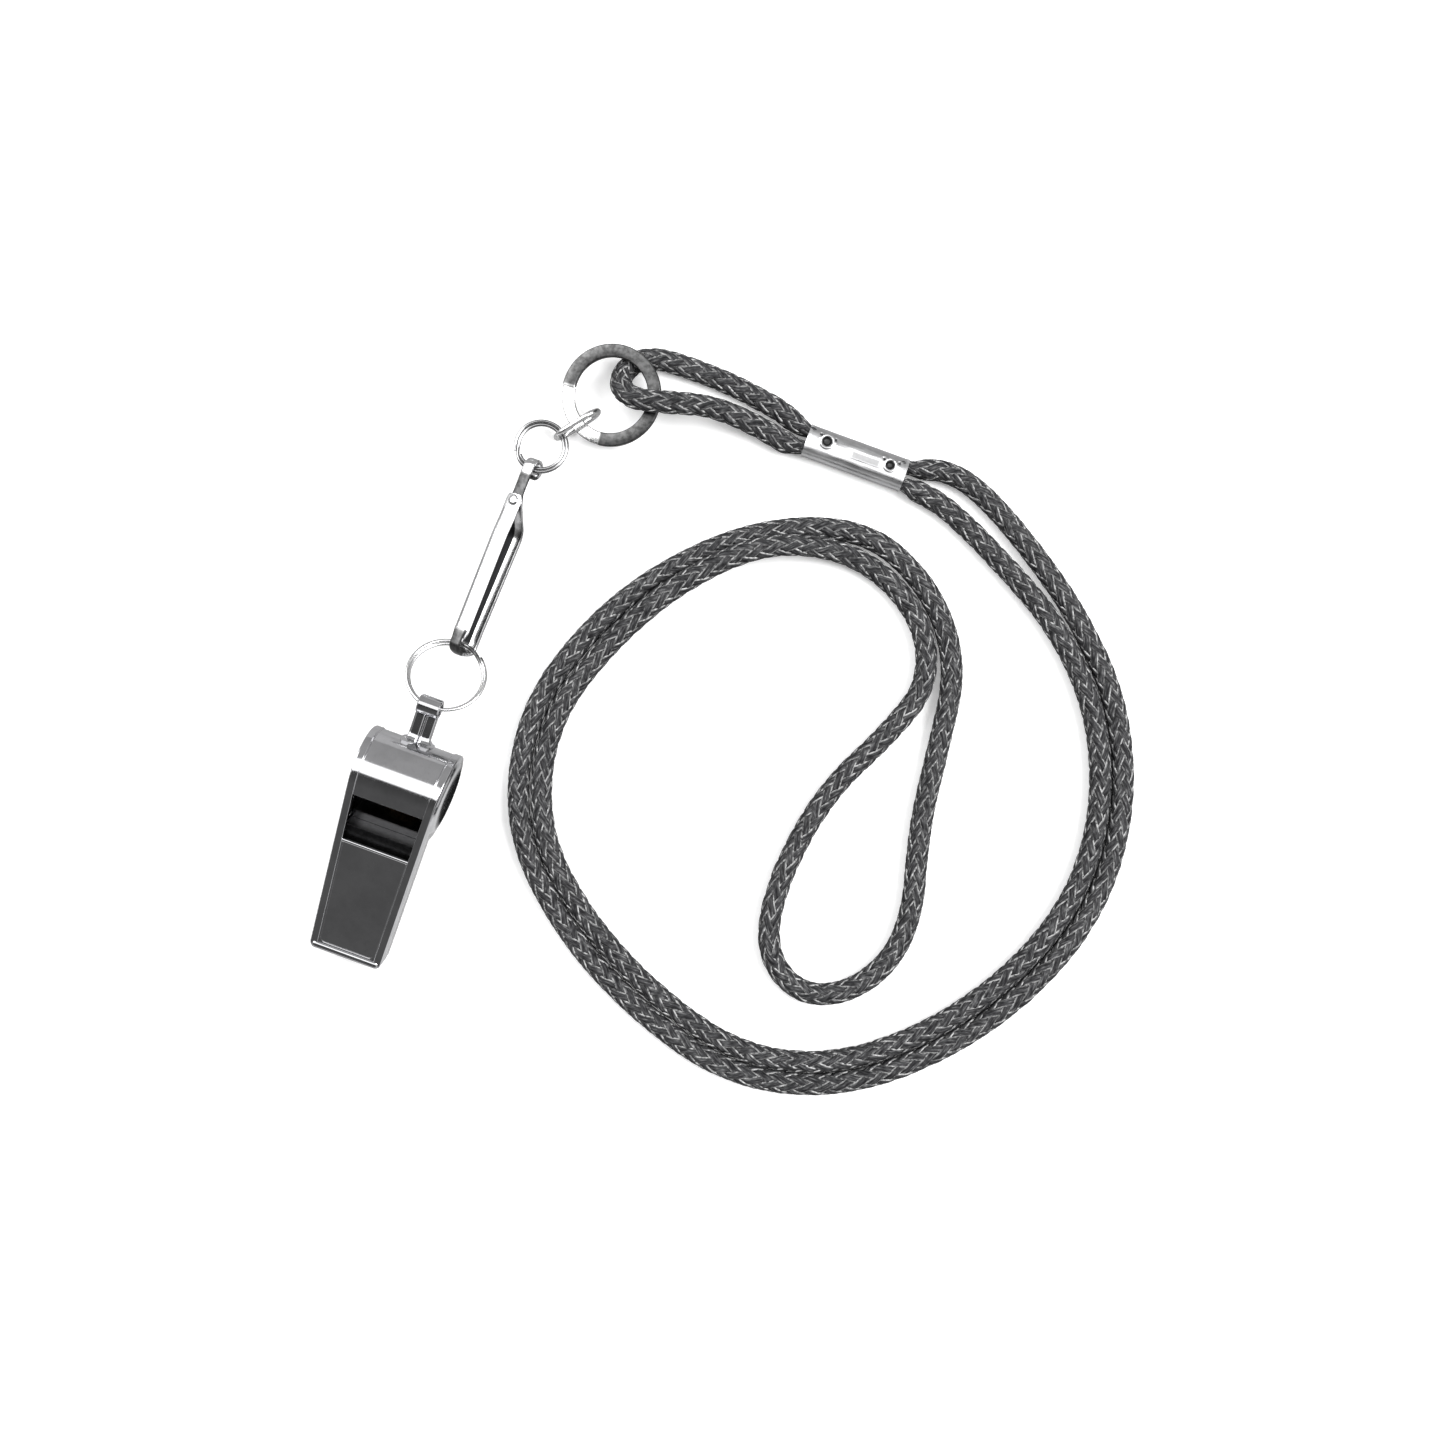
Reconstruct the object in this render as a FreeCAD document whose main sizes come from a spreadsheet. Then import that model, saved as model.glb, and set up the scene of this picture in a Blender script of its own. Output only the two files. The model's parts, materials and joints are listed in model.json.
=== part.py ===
import FreeCAD, Part
import math
import os
import re

from FreeCAD import Placement, Rotation, Vector

# A pea whistle with its lanyard, laid out on a flat surface. Millimetres, +Z up, the surface at z = 0.
# +Y runs from the mouthpiece to the rear lug and on along the chain of hardware, +X to the whistle's
# right. The origin is below the middle of the whistle and its hardware.
# From the whistle outwards: rear lug, lower split ring, snap hook, small split ring, oval link, large
# split ring, the cord's ring loop, crimp ferrule, neck cord.

# ---------------------------------------------------------------- driving dimensions

SIZES = {
    # whistle body, in its own frame: origin at the barrel's centre, +Y to the rear, +Z to the roof side
    "barrel_radius": (10.0, "outside of the barrel strip"),
    "strip_thickness": (0.7, "sheet of the barrel, the roof and the underside"),
    "mouth_length": (41.4, "barrel centre to the mouthpiece's end"),
    "tip_roof": (9.3, "roof height at the mouthpiece's end"),
    "tip_floor": (3.2, "underside height at the mouthpiece's end"),
    "root_floor": (2.6, "underside height where it meets the barrel"),
    "tip_width": (16.8, "over the side plates at the mouthpiece"),
    "rear_width": (20.6, "over the side plates at the back"),
    "plate_thickness": (0.9, "side plates"),
    "rim_height": (0.25, "how far the side plates stand proud of the strips"),
    "window_front": (13.3, "barrel centre to the rear edge of the roof"),
    "window_back": (2.4, "barrel centre to the labium edge"),
    "split_level": (6.0, "between the mouthpiece's floor and roof"),
    "tongue_end": (10.4, "barrel centre to the windway floor's back"),
    "windway_mouth": (2.4, "windway height where the air goes in"),
    "windway_exit": (1.2, "windway height at the sound window"),
    "bead_height": (0.4, "bead round the mouthpiece's end"),
    "bead_length": (1.4, "bead, along the mouthpiece"),
    "boss_radius": (8.7, "round boss pressed in each side plate"),
    "boss_proud": (0.6, "boss above the side plate"),
    "pea_radius": (5.4, "cork ball"),
    "pea_clearance": (0.08, "cork ball to the barrel's wall"),
    # rear lug, folded from strip
    "lug_width": (5.2, "strip width"),
    "lug_thickness": (2.4, "two layers and solder"),
    "lug_reach": (18.5, "barrel centre to the eye's centre"),
    "lug_rise": (7.1, "degrees that the lug points above the horizontal"),
    "lug_eye_radius": (2.15, "outside of the rolled eye"),
    "lug_hole_radius": (1.45, "hole of the rolled eye"),
    "lug_foot_width": (7.2, "foot on the barrel"),
    "lug_foot_height": (7.2, "foot on the barrel, round the curve"),
    "lug_foot_thickness": (0.6, "foot on the barrel"),
    # rings and link
    "lower_ring_radius": (8.55, "centre of the wire"),
    "lower_wire_radius": (0.75, "both turns together"),
    "small_ring_radius": (5.55, "centre of the wire"),
    "small_wire_radius": (0.65, "both turns together"),
    "large_ring_radius": (10.15, "middle of the flat band"),
    "large_band_width": (3.0, "flat band, radially"),
    "large_band_thickness": (1.6, "both turns together"),
    "large_ring_tilt": (9.5, "degrees, raised by the cord beneath it"),
    "link_length": (12.6, "over the wire"),
    "link_height": (7.0, "over the wire"),
    "link_wire_radius": (0.65, "wire"),
    # snap hook, in its own frame: origin at the bend's centre, +Y to the eye, +Z to the gate side
    "hook_bend_radius": (3.1, "middle of the strip"),
    "hook_strip_thickness": (0.8, "strip"),
    "hook_width": (4.0, "strip width along the spine"),
    "hook_neck_width": (2.6, "strip width at the neck and the eye"),
    "hook_eye_reach": (43.6, "bend's centre to the eye's centre"),
    "hook_eye_radius": (2.0, "middle of the strip"),
    "hook_neck_level": (1.3, "neck, on the gate side of the bend's centre"),
    "hook_nose_length": (3.6, "straight end past the bend"),
    "spine_length": (28.6, "straight stretch past the bend"),
    "spine_drop": (4.2, "end of the straight spine, below the bend's centre"),
    "gate_thickness": (0.5, "spring strip"),
    "gate_width": (4.0, "spring strip"),
    "gate_tip": (1.5, "free end, past the bend's centre"),
    "gate_hinge": (33.0, "where the spring strip flexes, past the bend's centre"),
    "gate_hinge_gap": (0.05, "between the moving stretch of the strip and its riveted end"),
    "gate_root_length": (3.6, "riveted end of the spring strip"),
    "gate_nose_gap": (0.1, "gate to the inside of the nose"),
    "rivet_radius": (0.8, "shank"),
    "rivet_head_radius": (1.3, "head"),
    "rivet_head_height": (0.5, "head"),
    # lanyard
    "cord_diameter": (5.0, "braided cord"),
    "ferrule_length": (24.0, "crimp ferrule"),
    "ferrule_width": (7.5, "crimp ferrule"),
    "ferrule_height": (6.2, "crimp ferrule"),
    "ferrule_wall": (0.5, "crimp ferrule"),
    "ferrule_corner": (1.8, "outside radius of its long edges"),
    "tail_length": (11.2, "cord squeezed inside the ferrule, each end"),
    "lane_offset": (2.6, "cord centre to the ferrule's middle, at its mouths"),
    "tooth_radius": (0.9, "pierced teeth of the ferrule"),
    "tooth_depth": (1.2, "pierced teeth of the ferrule"),
    "tooth_inset": (4.4, "pierced teeth, from the ferrule's ends"),
}

doc = FreeCAD.newDocument("training_whistle")
sheet = doc.addObject("Spreadsheet::Sheet", "Sizes")
for row, (alias, (value, note)) in enumerate(SIZES.items(), start=1):
    sheet.set(f"A{row}", alias)
    sheet.set(f"B{row}", str(value))
    sheet.setAlias(f"B{row}", alias)
    sheet.set(f"C{row}", note)
doc.recompute()


def size(alias):
    return float(sheet.get(alias))


def bind(obj, **expressions):
    """Binds properties to expressions in which a sheet's alias stands as a bare word."""
    for prop, text in expressions.items():
        obj.setExpression(prop, re.sub(r"[a-z]\w*", lambda word: "Sizes." + word.group(), text))
    return obj


def primitive(kind, name, base=Vector(), turn=Rotation(), **expressions):
    obj = bind(doc.addObject("Part::" + kind, name), **expressions)
    obj.Placement = Placement(base, turn)
    return obj


def combine(kind, name, *objects):
    """Cut and Common take a base and a tool; MultiFuse and MultiCommon take any number of objects."""
    obj = doc.addObject("Part::" + kind, name)
    if kind.startswith("Multi"):
        obj.Shapes = list(objects)
    else:
        obj.Base, obj.Tool = objects
    return obj


PARTS = []


def keep(obj, label, placement=Placement()):
    """Makes obj a sub-part: its own label, which names its file, and its own placement."""
    obj.Label = label
    obj.Placement = placement
    PARTS.append(obj)
    return obj


def direction(heading, rise=0.0):
    """Unit vector at a heading, in degrees from +X, and a rise above the horizontal."""
    a, b = math.radians(heading), math.radians(rise)
    return Vector(math.cos(b) * math.cos(a), math.cos(b) * math.sin(a), math.sin(b))


X, Y, Z = Vector(1, 0, 0), Vector(0, 1, 0), Vector(0, 0, 1)
ALONG_X = Rotation(Y, 90)  # lays a cylinder's axis along +X
WIDE = 30.0  # longer than the whistle is wide: tools that are trimmed afterwards

# ---------------------------------------------------------------- places in the layout

# The whistle rests on its barrel and on the bead's lower front edge, nose down.
WHISTLE_XY = (-36.2, -34.4)
rest_height = size("barrel_radius") + size("rim_height")
heel_y = size("mouth_length")
heel_z = size("tip_floor") - size("rim_height") - size("bead_height")
whistle_tilt = math.degrees(
    math.asin(rest_height / math.hypot(heel_y, heel_z)) + math.atan2(heel_z, heel_y)
)
barrel_centre = Vector(*WHISTLE_XY, rest_height)
WHISTLE = Placement(barrel_centre, Rotation(X, whistle_tilt))
LUG = Placement(barrel_centre, Rotation(X, size("lug_rise")))
lug_eye = LUG.multVec(Y * size("lug_reach"))

# The hook lies rolled on to one edge of its spine. The lower ring slopes from the lug down to it.
HOOK_ROLL = -22.0
HOOK_X = -35.5
HOOK_YAW = -1.4
hook_height = 5.0
ring_slope = math.degrees(
    math.asin((lug_eye.z - hook_height) / (2 * size("lower_ring_radius")))
)
hook_bend = lug_eye + direction(90, -ring_slope) * 2 * size("lower_ring_radius")
hook_bend.x = HOOK_X
HOOK = Placement(hook_bend, Rotation(Z, HOOK_YAW) * Rotation(Y, HOOK_ROLL))
hook_eye_drop = size("hook_neck_level") - size("hook_eye_radius")
hook_eye = HOOK.multVec(Vector(0, size("hook_eye_reach"), hook_eye_drop))
lower_ring_centre = (lug_eye + hook_bend) * 0.5
LOWER_RING = Placement(lower_ring_centre, Rotation(X, -ring_slope))

# The small ring runs on from the hook's eye and comes down to the link's height.
LINK_HEADING = 52.0
link_level = size("link_height") / 2
small_slope = math.degrees(math.asin((hook_eye.z - link_level) / (2 * size("small_ring_radius"))))
small_ring_centre = hook_eye + direction(90, -small_slope) * size("small_ring_radius")
SMALL_RING = Placement(small_ring_centre, Rotation(X, -small_slope))
link_root = small_ring_centre + direction(LINK_HEADING) * size("small_ring_radius")
link_root.z = link_level

# The link stands on edge. Its near end is just beyond the small ring's wire.
link_end_gap = 0.15
link_near = 2 * size("link_wire_radius") + link_end_gap + size("small_wire_radius")
link_centre = link_root + direction(LINK_HEADING) * (size("link_length") / 2 - link_near)
LINK = Placement(link_centre, Rotation(Z, LINK_HEADING))

# The large ring lies on the cord with its far side raised, towards RAISED_HEADING.
LARGE_RING_XY = Vector(-22.9, 64.8, 0)
RAISED_HEADING = 40.0
to_root = Vector(link_root.x, link_root.y, 0) - LARGE_RING_XY
along = -to_root.dot(direction(LINK_HEADING))
inside = to_root.dot(to_root) - size("large_ring_radius") ** 2
link_crossing = link_root + direction(LINK_HEADING) * (along - math.sqrt(along**2 - inside))
crossing_lean = (link_crossing - LARGE_RING_XY - Z * link_level).normalize()
tilt_sine = math.sin(math.radians(size("large_ring_tilt")))
large_ring_lift = (
    -size("large_ring_radius") * tilt_sine * crossing_lean.dot(direction(RAISED_HEADING))
)
large_ring_centre = LARGE_RING_XY + Z * (link_level + large_ring_lift)
LARGE_RING = Placement(
    large_ring_centre, Rotation(direction(RAISED_HEADING - 90), size("large_ring_tilt"))
)

# The ferrule lies along +X, flat on the surface.
FERRULE_CENTRE = Vector(34.6, 70.9, size("ferrule_height") / 2)
FERRULE_YAW = 0.0
FERRULE = Placement(FERRULE_CENTRE, Rotation(Z, FERRULE_YAW))

# ---------------------------------------------------------------- whistle


def side_profile(name, grow, reach="0"):
    """Barrel and mouthpiece seen from the side, grown by an expression, far wider than the whistle."""
    barrel = primitive(
        "Cylinder", name + "_barrel", Vector(-WIDE / 2, 0, 0), ALONG_X, Radius=f"barrel_radius + {grow}"
    )
    barrel.Height = WIDE
    mouth = primitive(
        "Wedge",
        name + "_mouth",
        Ymin=f"-mouth_length - {reach}",
        Zmin=f"tip_floor - ({grow})",
        Zmax=f"tip_roof + {grow}",
        Ymax="0",
        Z2min=f"root_floor - ({grow})",
        Z2max=f"barrel_radius + {grow}",
    )
    mouth.Xmin = mouth.X2min = -WIDE / 2
    mouth.Xmax = mouth.X2max = WIDE / 2
    return combine("MultiFuse", name, barrel, mouth)


def plan_profile(name, inset):
    """The whistle's tapered width seen from above, inset by an expression, far taller than it."""
    wedge = primitive(
        "Wedge",
        name,
        Ymin="-mouth_length",
        Xmin=f"-tip_width / 2 + {inset}",
        Xmax=f"tip_width / 2 - ({inset})",
        Ymax="barrel_radius + rim_height",
        X2min=f"-rear_width / 2 + {inset}",
        X2max=f"rear_width / 2 - ({inset})",
    )
    wedge.Zmin = wedge.Z2min = -WIDE
    wedge.Zmax = wedge.Z2max = WIDE
    return wedge


def upper_zone(name, back):
    """Everything above the split level, from in front of the mouthpiece to an expression."""
    zone = primitive(
        "Box",
        name,
        Vector(-WIDE / 2, -size("mouth_length") - 1, size("split_level")),
        Width=f"mouth_length + 1 - {back}",
    )
    zone.Length = zone.Height = WIDE
    return zone


outline = side_profile("outline", "0")
rim_outline = side_profile("rim_outline", "rim_height")
cavity = side_profile("cavity", "-strip_thickness", "1")
between_plates = plan_profile("between_plates", "plate_thickness")
over_plates = plan_profile("over_plates", "0")
strips = combine(
    "Common", "strips", combine("Cut", "hollow_outline", outline, cavity), between_plates
)

keep(
    combine("Cut", "BarrelStrip", strips, upper_zone("front_zone", "window_back")),
    "barrel_strip",
    WHISTLE,
)
keep(
    combine("Common", "MouthpieceRoof", strips, upper_zone("roof_zone", "window_front")),
    "mouthpiece_roof",
    WHISTLE,
)


def windway_floor():
    """Fills the mouthpiece below the windway, which narrows from the mouth to the sound window."""
    length = size("mouth_length")
    start = Vector(-WIDE / 2, 0.6 - length, 0)
    zone = primitive("Box", "tongue_zone", start, Width="mouth_length - 0.6 - tongue_end")
    zone.Length = zone.Height = WIDE
    filling = combine("MultiCommon", "tongue_filling", cavity, between_plates, zone)
    windway = primitive(
        "Wedge",
        "windway",
        Ymin="-mouth_length",
        Zmin="tip_roof - strip_thickness - windway_mouth",
        Ymax="-tongue_end",
        Z2min="barrel_radius - (barrel_radius - tip_roof) * tongue_end / mouth_length - strip_thickness"
        " - windway_exit",
    )
    windway.Xmin = windway.X2min = -WIDE / 2
    windway.Xmax = windway.X2max = windway.Zmax = windway.Z2max = WIDE / 2
    return combine("Cut", "WindwayFloor", filling, windway)


keep(windway_floor(), "windway_floor", WHISTLE)


def side_plate(side, name):
    """side is 1 on the whistle's right, -1 on its left. The rim stands proud of the strips, and a round
    boss is pressed outwards over the middle of the barrel."""
    inner, outer = f"{side} * (tip_width / 2 - plate_thickness)", f"{side} * tip_width / 2"
    inner_rear = f"{side} * (rear_width / 2 - plate_thickness)"
    outer_rear = f"{side} * rear_width / 2"
    low, high = (inner, outer) if side > 0 else (outer, inner)
    low_rear, high_rear = (inner_rear, outer_rear) if side > 0 else (outer_rear, inner_rear)
    slab = primitive(
        "Wedge",
        name + "_slab",
        Ymin="-mouth_length",
        Ymax="barrel_radius + rim_height",
        Xmin=low,
        Xmax=high,
        X2min=low_rear,
        X2max=high_rear,
    )
    slab.Zmin = slab.Z2min = -WIDE
    slab.Zmax = slab.Z2max = WIDE
    plate = combine("Common", name + "_flat", rim_outline, slab)
    boss = primitive(
        "Cylinder",
        name + "_boss",
        Vector(0, 0, 0),
        ALONG_X if side > 0 else ALONG_X.inverted(),
        Radius="boss_radius",
        Height="(tip_width + (rear_width - tip_width) * mouth_length / (mouth_length + barrel_radius)) / 2"
        " + boss_proud",
    )
    pressed = combine("Cut", name + "_pressed", boss, between_plates)
    return combine("MultiFuse", name, plate, pressed)


for side, word in ((1, "right"), (-1, "left")):
    keep(side_plate(side, word.title() + "SidePlate"), word + "_side_plate", WHISTLE)


def mouthpiece_bead():
    base = Vector(
        -size("tip_width") / 2 - size("bead_height"),
        -size("mouth_length"),
        size("tip_floor") - size("rim_height") - size("bead_height"),
    )
    block = primitive(
        "Box",
        "bead_block",
        base,
        Length="tip_width + 2 * bead_height",
        Width="bead_length",
        Height="tip_roof - tip_floor + 2 * (rim_height + bead_height)",
    )
    mouthpiece = combine("Common", "mouthpiece_outline", rim_outline, over_plates)
    return combine("Cut", "MouthpieceBead", block, mouthpiece)


keep(mouthpiece_bead(), "mouthpiece_bead", WHISTLE)

pea_orbit = (
    size("barrel_radius") - size("strip_thickness") - size("pea_radius") - size("pea_clearance")
)
keep(
    primitive("Sphere", "CorkPea", Radius="pea_radius"),
    "cork_pea",
    Placement(barrel_centre - Z * pea_orbit, Rotation()),
)


def rear_lug():
    """Two layers of strip from the barrel to a rolled eye, on a curved foot."""
    width = size("lug_width")
    start = size("barrel_radius") - 1
    strap = primitive(
        "Box",
        "lug_strap",
        Vector(-width / 2, start, -size("lug_thickness") / 2),
        Length="lug_width",
        Width="lug_reach - barrel_radius + 1",
        Height="lug_thickness",
    )
    eye_base = Vector(-width / 2, size("lug_reach"), 0)
    eye = primitive("Cylinder", "lug_eye", eye_base, ALONG_X, Radius="lug_eye_radius")
    hole = primitive("Cylinder", "lug_hole", eye_base, ALONG_X, Radius="lug_hole_radius")
    eye.Height = hole.Height = width
    foot_skin = primitive(
        "Cylinder",
        "foot_skin",
        Vector(-size("lug_foot_width") / 2, 0, 0),
        ALONG_X,
        Radius="barrel_radius + lug_foot_thickness",
        Height="lug_foot_width",
    )
    foot_zone = primitive(
        "Box",
        "foot_zone",
        Vector(-WIDE / 2, 0, -size("lug_foot_height") / 2),
        Height="lug_foot_height",
    )
    foot_zone.Length = foot_zone.Width = WIDE
    foot = combine("Common", "lug_foot", foot_skin, foot_zone)
    barrel = primitive("Cylinder", "lug_seat", Vector(-WIDE / 2, 0, 0), ALONG_X, Radius="barrel_radius")
    barrel.Height = WIDE
    removed = combine("MultiFuse", "lug_removed", hole, barrel)
    return combine("Cut", "RearLug", combine("MultiFuse", "lug_solid", strap, eye, foot), removed)


keep(rear_lug(), "rear_lug", LUG)

# ---------------------------------------------------------------- rings and link

keep(
    primitive("Torus", "LowerRing", Radius1="lower_ring_radius", Radius2="lower_wire_radius"),
    "lower_split_ring",
    LOWER_RING,
)
keep(
    primitive("Torus", "SmallRing", Radius1="small_ring_radius", Radius2="small_wire_radius"),
    "small_split_ring",
    SMALL_RING,
)


def large_ring():
    base = Vector(0, 0, -size("large_band_thickness") / 2)
    discs = [
        primitive(
            "Cylinder",
            "band_" + word,
            base,
            Radius=f"large_ring_radius {sign} large_band_width / 2",
            Height="large_band_thickness",
        )
        for word, sign in (("outside", "+"), ("inside", "-"))
    ]
    return combine("Cut", "LargeRing", *discs)


keep(large_ring(), "large_split_ring", LARGE_RING)


def tangent_path(points, radii):
    """One wire of straight runs joined by tangent arcs, with a radius for each inner point."""
    edges, last = [], points[0]
    for before, corner, after, radius in zip(points, points[1:], points[2:], radii):
        into, out = (corner - before).normalize(), (after - corner).normalize()
        half_turn = into.getAngle(out) / 2
        reach = radius * math.tan(half_turn)
        start, end = corner - into * reach, corner + out * reach
        middle = corner + (out - into).normalize() * (radius / math.cos(half_turn) - radius)
        edges += [Part.LineSegment(last, start).toShape(), Part.Arc(start, middle, end).toShape()]
        last = end
    edges.append(Part.LineSegment(last, points[-1]).toShape())
    return Part.Wire(edges)


def round_section(centre, along_path, radius):
    return Part.Wire([Part.Circle(centre, along_path, radius).toShape()])


def oval_link():
    """Round wire bent to an oval in the plane of its length and +Z."""
    wire = size("link_wire_radius")
    bend = size("link_height") / 2 - wire
    half = size("link_length") / 2 - wire - bend
    corners = [
        Vector(along * half, 0, up * bend) for along, up in ((-1, -1), (1, -1), (1, 1), (-1, 1))
    ]
    path = Part.Wire(
        [
            Part.LineSegment(corners[0], corners[1]).toShape(),
            Part.Arc(corners[1], Vector(half + bend, 0, 0), corners[2]).toShape(),
            Part.LineSegment(corners[2], corners[3]).toShape(),
            Part.Arc(corners[3], Vector(-half - bend, 0, 0), corners[0]).toShape(),
        ]
    )
    link = doc.addObject("Part::Feature", "OvalLink")
    link.Shape = path.makePipeShell([round_section(corners[0], X, wire)], True, False)
    return link


keep(oval_link(), "oval_link", LINK)

# ---------------------------------------------------------------- snap hook


def strip_along(path, width, thickness, name):
    """Flat strip whose middle follows a path in the YZ plane, its width along X."""
    start = path.Edges[0].valueAt(path.Edges[0].FirstParameter)
    heading = path.Edges[0].tangentAt(path.Edges[0].FirstParameter)
    side, up = X * (width / 2), heading.cross(X) * (thickness / 2)
    corners = [start - side - up, start + side - up, start + side + up, start - side + up]
    section = Part.makePolygon(corners + corners[:1])
    strip = doc.addObject("Part::Feature", name)
    strip.Shape = path.makePipeShell([section], True, False)
    return strip


def at(y, z):
    """A point in the plane in which the hook is bent."""
    return Vector(0, y, z)


def hook_body():
    bend, reach = size("hook_bend_radius"), size("hook_eye_reach")
    level, eye = size("hook_neck_level"), size("hook_eye_radius")
    nose = Part.LineSegment(at(size("hook_nose_length"), bend), at(0, bend)).toShape()
    turn = Part.Arc(at(0, bend), at(-bend, 0), at(0, -bend)).toShape()
    shoulder = at(size("gate_hinge") + 1.8, level)
    spine_end = at(size("spine_length"), -size("spine_drop"))
    spine = tangent_path(
        [at(0, -bend), at(4, -bend), spine_end, shoulder, at(reach, level)],
        [30, 5, 3],
    )
    roll_centre = at(reach, level - eye)
    roll_middle, roll_end = (
        roll_centre + at(eye * math.cos(a), eye * math.sin(a))
        for a in (math.radians(-55), math.radians(-203))
    )
    roll = Part.Arc(at(reach, level), roll_middle, roll_end).toShape()
    path = Part.Wire([nose, turn, *spine.Edges, roll])
    strip = strip_along(path, size("hook_width"), size("hook_strip_thickness"), "hook_strip")
    neck = size("hook_neck_width")
    trims = []
    for word, edge in (("left", -WIDE), ("right", neck / 2)):
        trim = primitive("Box", "neck_trim_" + word, Vector(edge, size("gate_hinge") + 4.2, -WIDE / 2))
        trim.Length = trim.Width = trim.Height = WIDE
        trims.append(trim)
    return combine("Cut", "HookBody", strip, combine("MultiFuse", "neck_trims", *trims))


# Heights of the gate's middle under the nose and on the neck.
half_strip, half_gate = size("hook_strip_thickness") / 2, size("gate_thickness") / 2
gate_level = size("hook_bend_radius") - half_strip - size("gate_nose_gap") - half_gate
root_level = size("hook_neck_level") + half_strip + half_gate


def gate_blade():
    """The moving stretch of the spring gate: from where it flexes to its free end under the nose."""
    hinge = size("gate_hinge")
    start = at(hinge - size("gate_hinge_gap"), root_level)
    tip = at(size("gate_tip"), gate_level)
    path = tangent_path([start, at(hinge - 2, root_level), at(hinge - 6, gate_level), tip], [8, 8])
    return strip_along(path, size("gate_width"), size("gate_thickness"), "GateBlade")


def rivet_place(level):
    return at(size("gate_hinge") + size("gate_root_length") / 2 + 0.3, level)


def gate_root():
    """The riveted end of the spring gate."""
    plate = primitive(
        "Box",
        "root_plate",
        Vector(-size("gate_width") / 2, size("gate_hinge"), root_level - half_gate),
        Length="gate_width",
        Width="gate_root_length",
        Height="gate_thickness",
    )
    hole = primitive("Cylinder", "root_hole", rivet_place(0), Radius="rivet_radius")
    hole.Height = 5
    return combine("Cut", "GateRoot", plate, hole)


def hook_rivet():
    top = root_level + half_gate
    head = primitive(
        "Cylinder", "rivet_head", rivet_place(top), Radius="rivet_head_radius", Height="rivet_head_height"
    )
    foot = rivet_place(root_level - half_gate)
    shank = primitive("Cylinder", "rivet_shank", foot, Radius="rivet_radius")
    shank.Height = size("gate_thickness") + 0.1
    return combine("MultiFuse", "HookRivet", head, shank)


keep(hook_body(), "hook_body", HOOK)
keep(gate_blade(), "gate_blade", HOOK)
keep(gate_root(), "gate_root", HOOK)
keep(hook_rivet(), "hook_rivet", HOOK)

# ---------------------------------------------------------------- lanyard


def rounded_bar(name, inset):
    """The ferrule's outline with its four long edges rounded, inset on its long sides."""
    length, width, height = (size("ferrule_" + word) for word in ("length", "width", "height"))
    bar = primitive(
        "Box",
        name + "_bar",
        Vector(-length / 2, -width / 2 + inset, -height / 2 + inset),
        Length="ferrule_length",
        Width=f"ferrule_width - 2 * {inset}",
        Height=f"ferrule_height - 2 * {inset}",
    )
    doc.recompute()
    corner = size("ferrule_corner") - inset
    rounded = doc.addObject("Part::Fillet", name)
    rounded.Base = bar
    rounded.Edges = [
        (number, corner, corner)
        for number, edge in enumerate(bar.Shape.Edges, start=1)
        if abs(edge.Length - length) < 1e-6
    ]
    return rounded


def ferrule():
    """A folded sheet tube with two pierced teeth in its upper face."""
    length, height = size("ferrule_length"), size("ferrule_height")
    outside = rounded_bar("ferrule_outside", 0)
    inside = rounded_bar("ferrule_inside", size("ferrule_wall"))
    teeth = []
    for word, sign in (("near", -1), ("far", 1)):
        tooth_x = sign * (length / 2 - size("tooth_inset"))
        teeth.append(
            primitive(
                "Cone",
                "tooth_" + word,
                Vector(tooth_x, 0, height / 2 + 0.01),
                Rotation(X, 180),
                Radius1="tooth_radius",
                Radius2="tooth_radius / 3",
                Height="tooth_depth",
            )
        )
    tube = combine("Cut", "ferrule_tube", outside, inside)
    return combine("Cut", "CrimpFerrule", tube, combine("MultiFuse", "teeth", *teeth))


keep(ferrule(), "crimp_ferrule", FERRULE)

MOUTH_RIGHT = size("ferrule_length") / 2


def mouth(end, lane, beyond=0.0):
    """A strand's centre at the ferrule's end, or beyond it. end is 1 on the right, lane 1 at the back."""
    return FERRULE.multVec(Vector(end * (MOUTH_RIGHT + beyond), lane * size("lane_offset"), 0))


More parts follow.
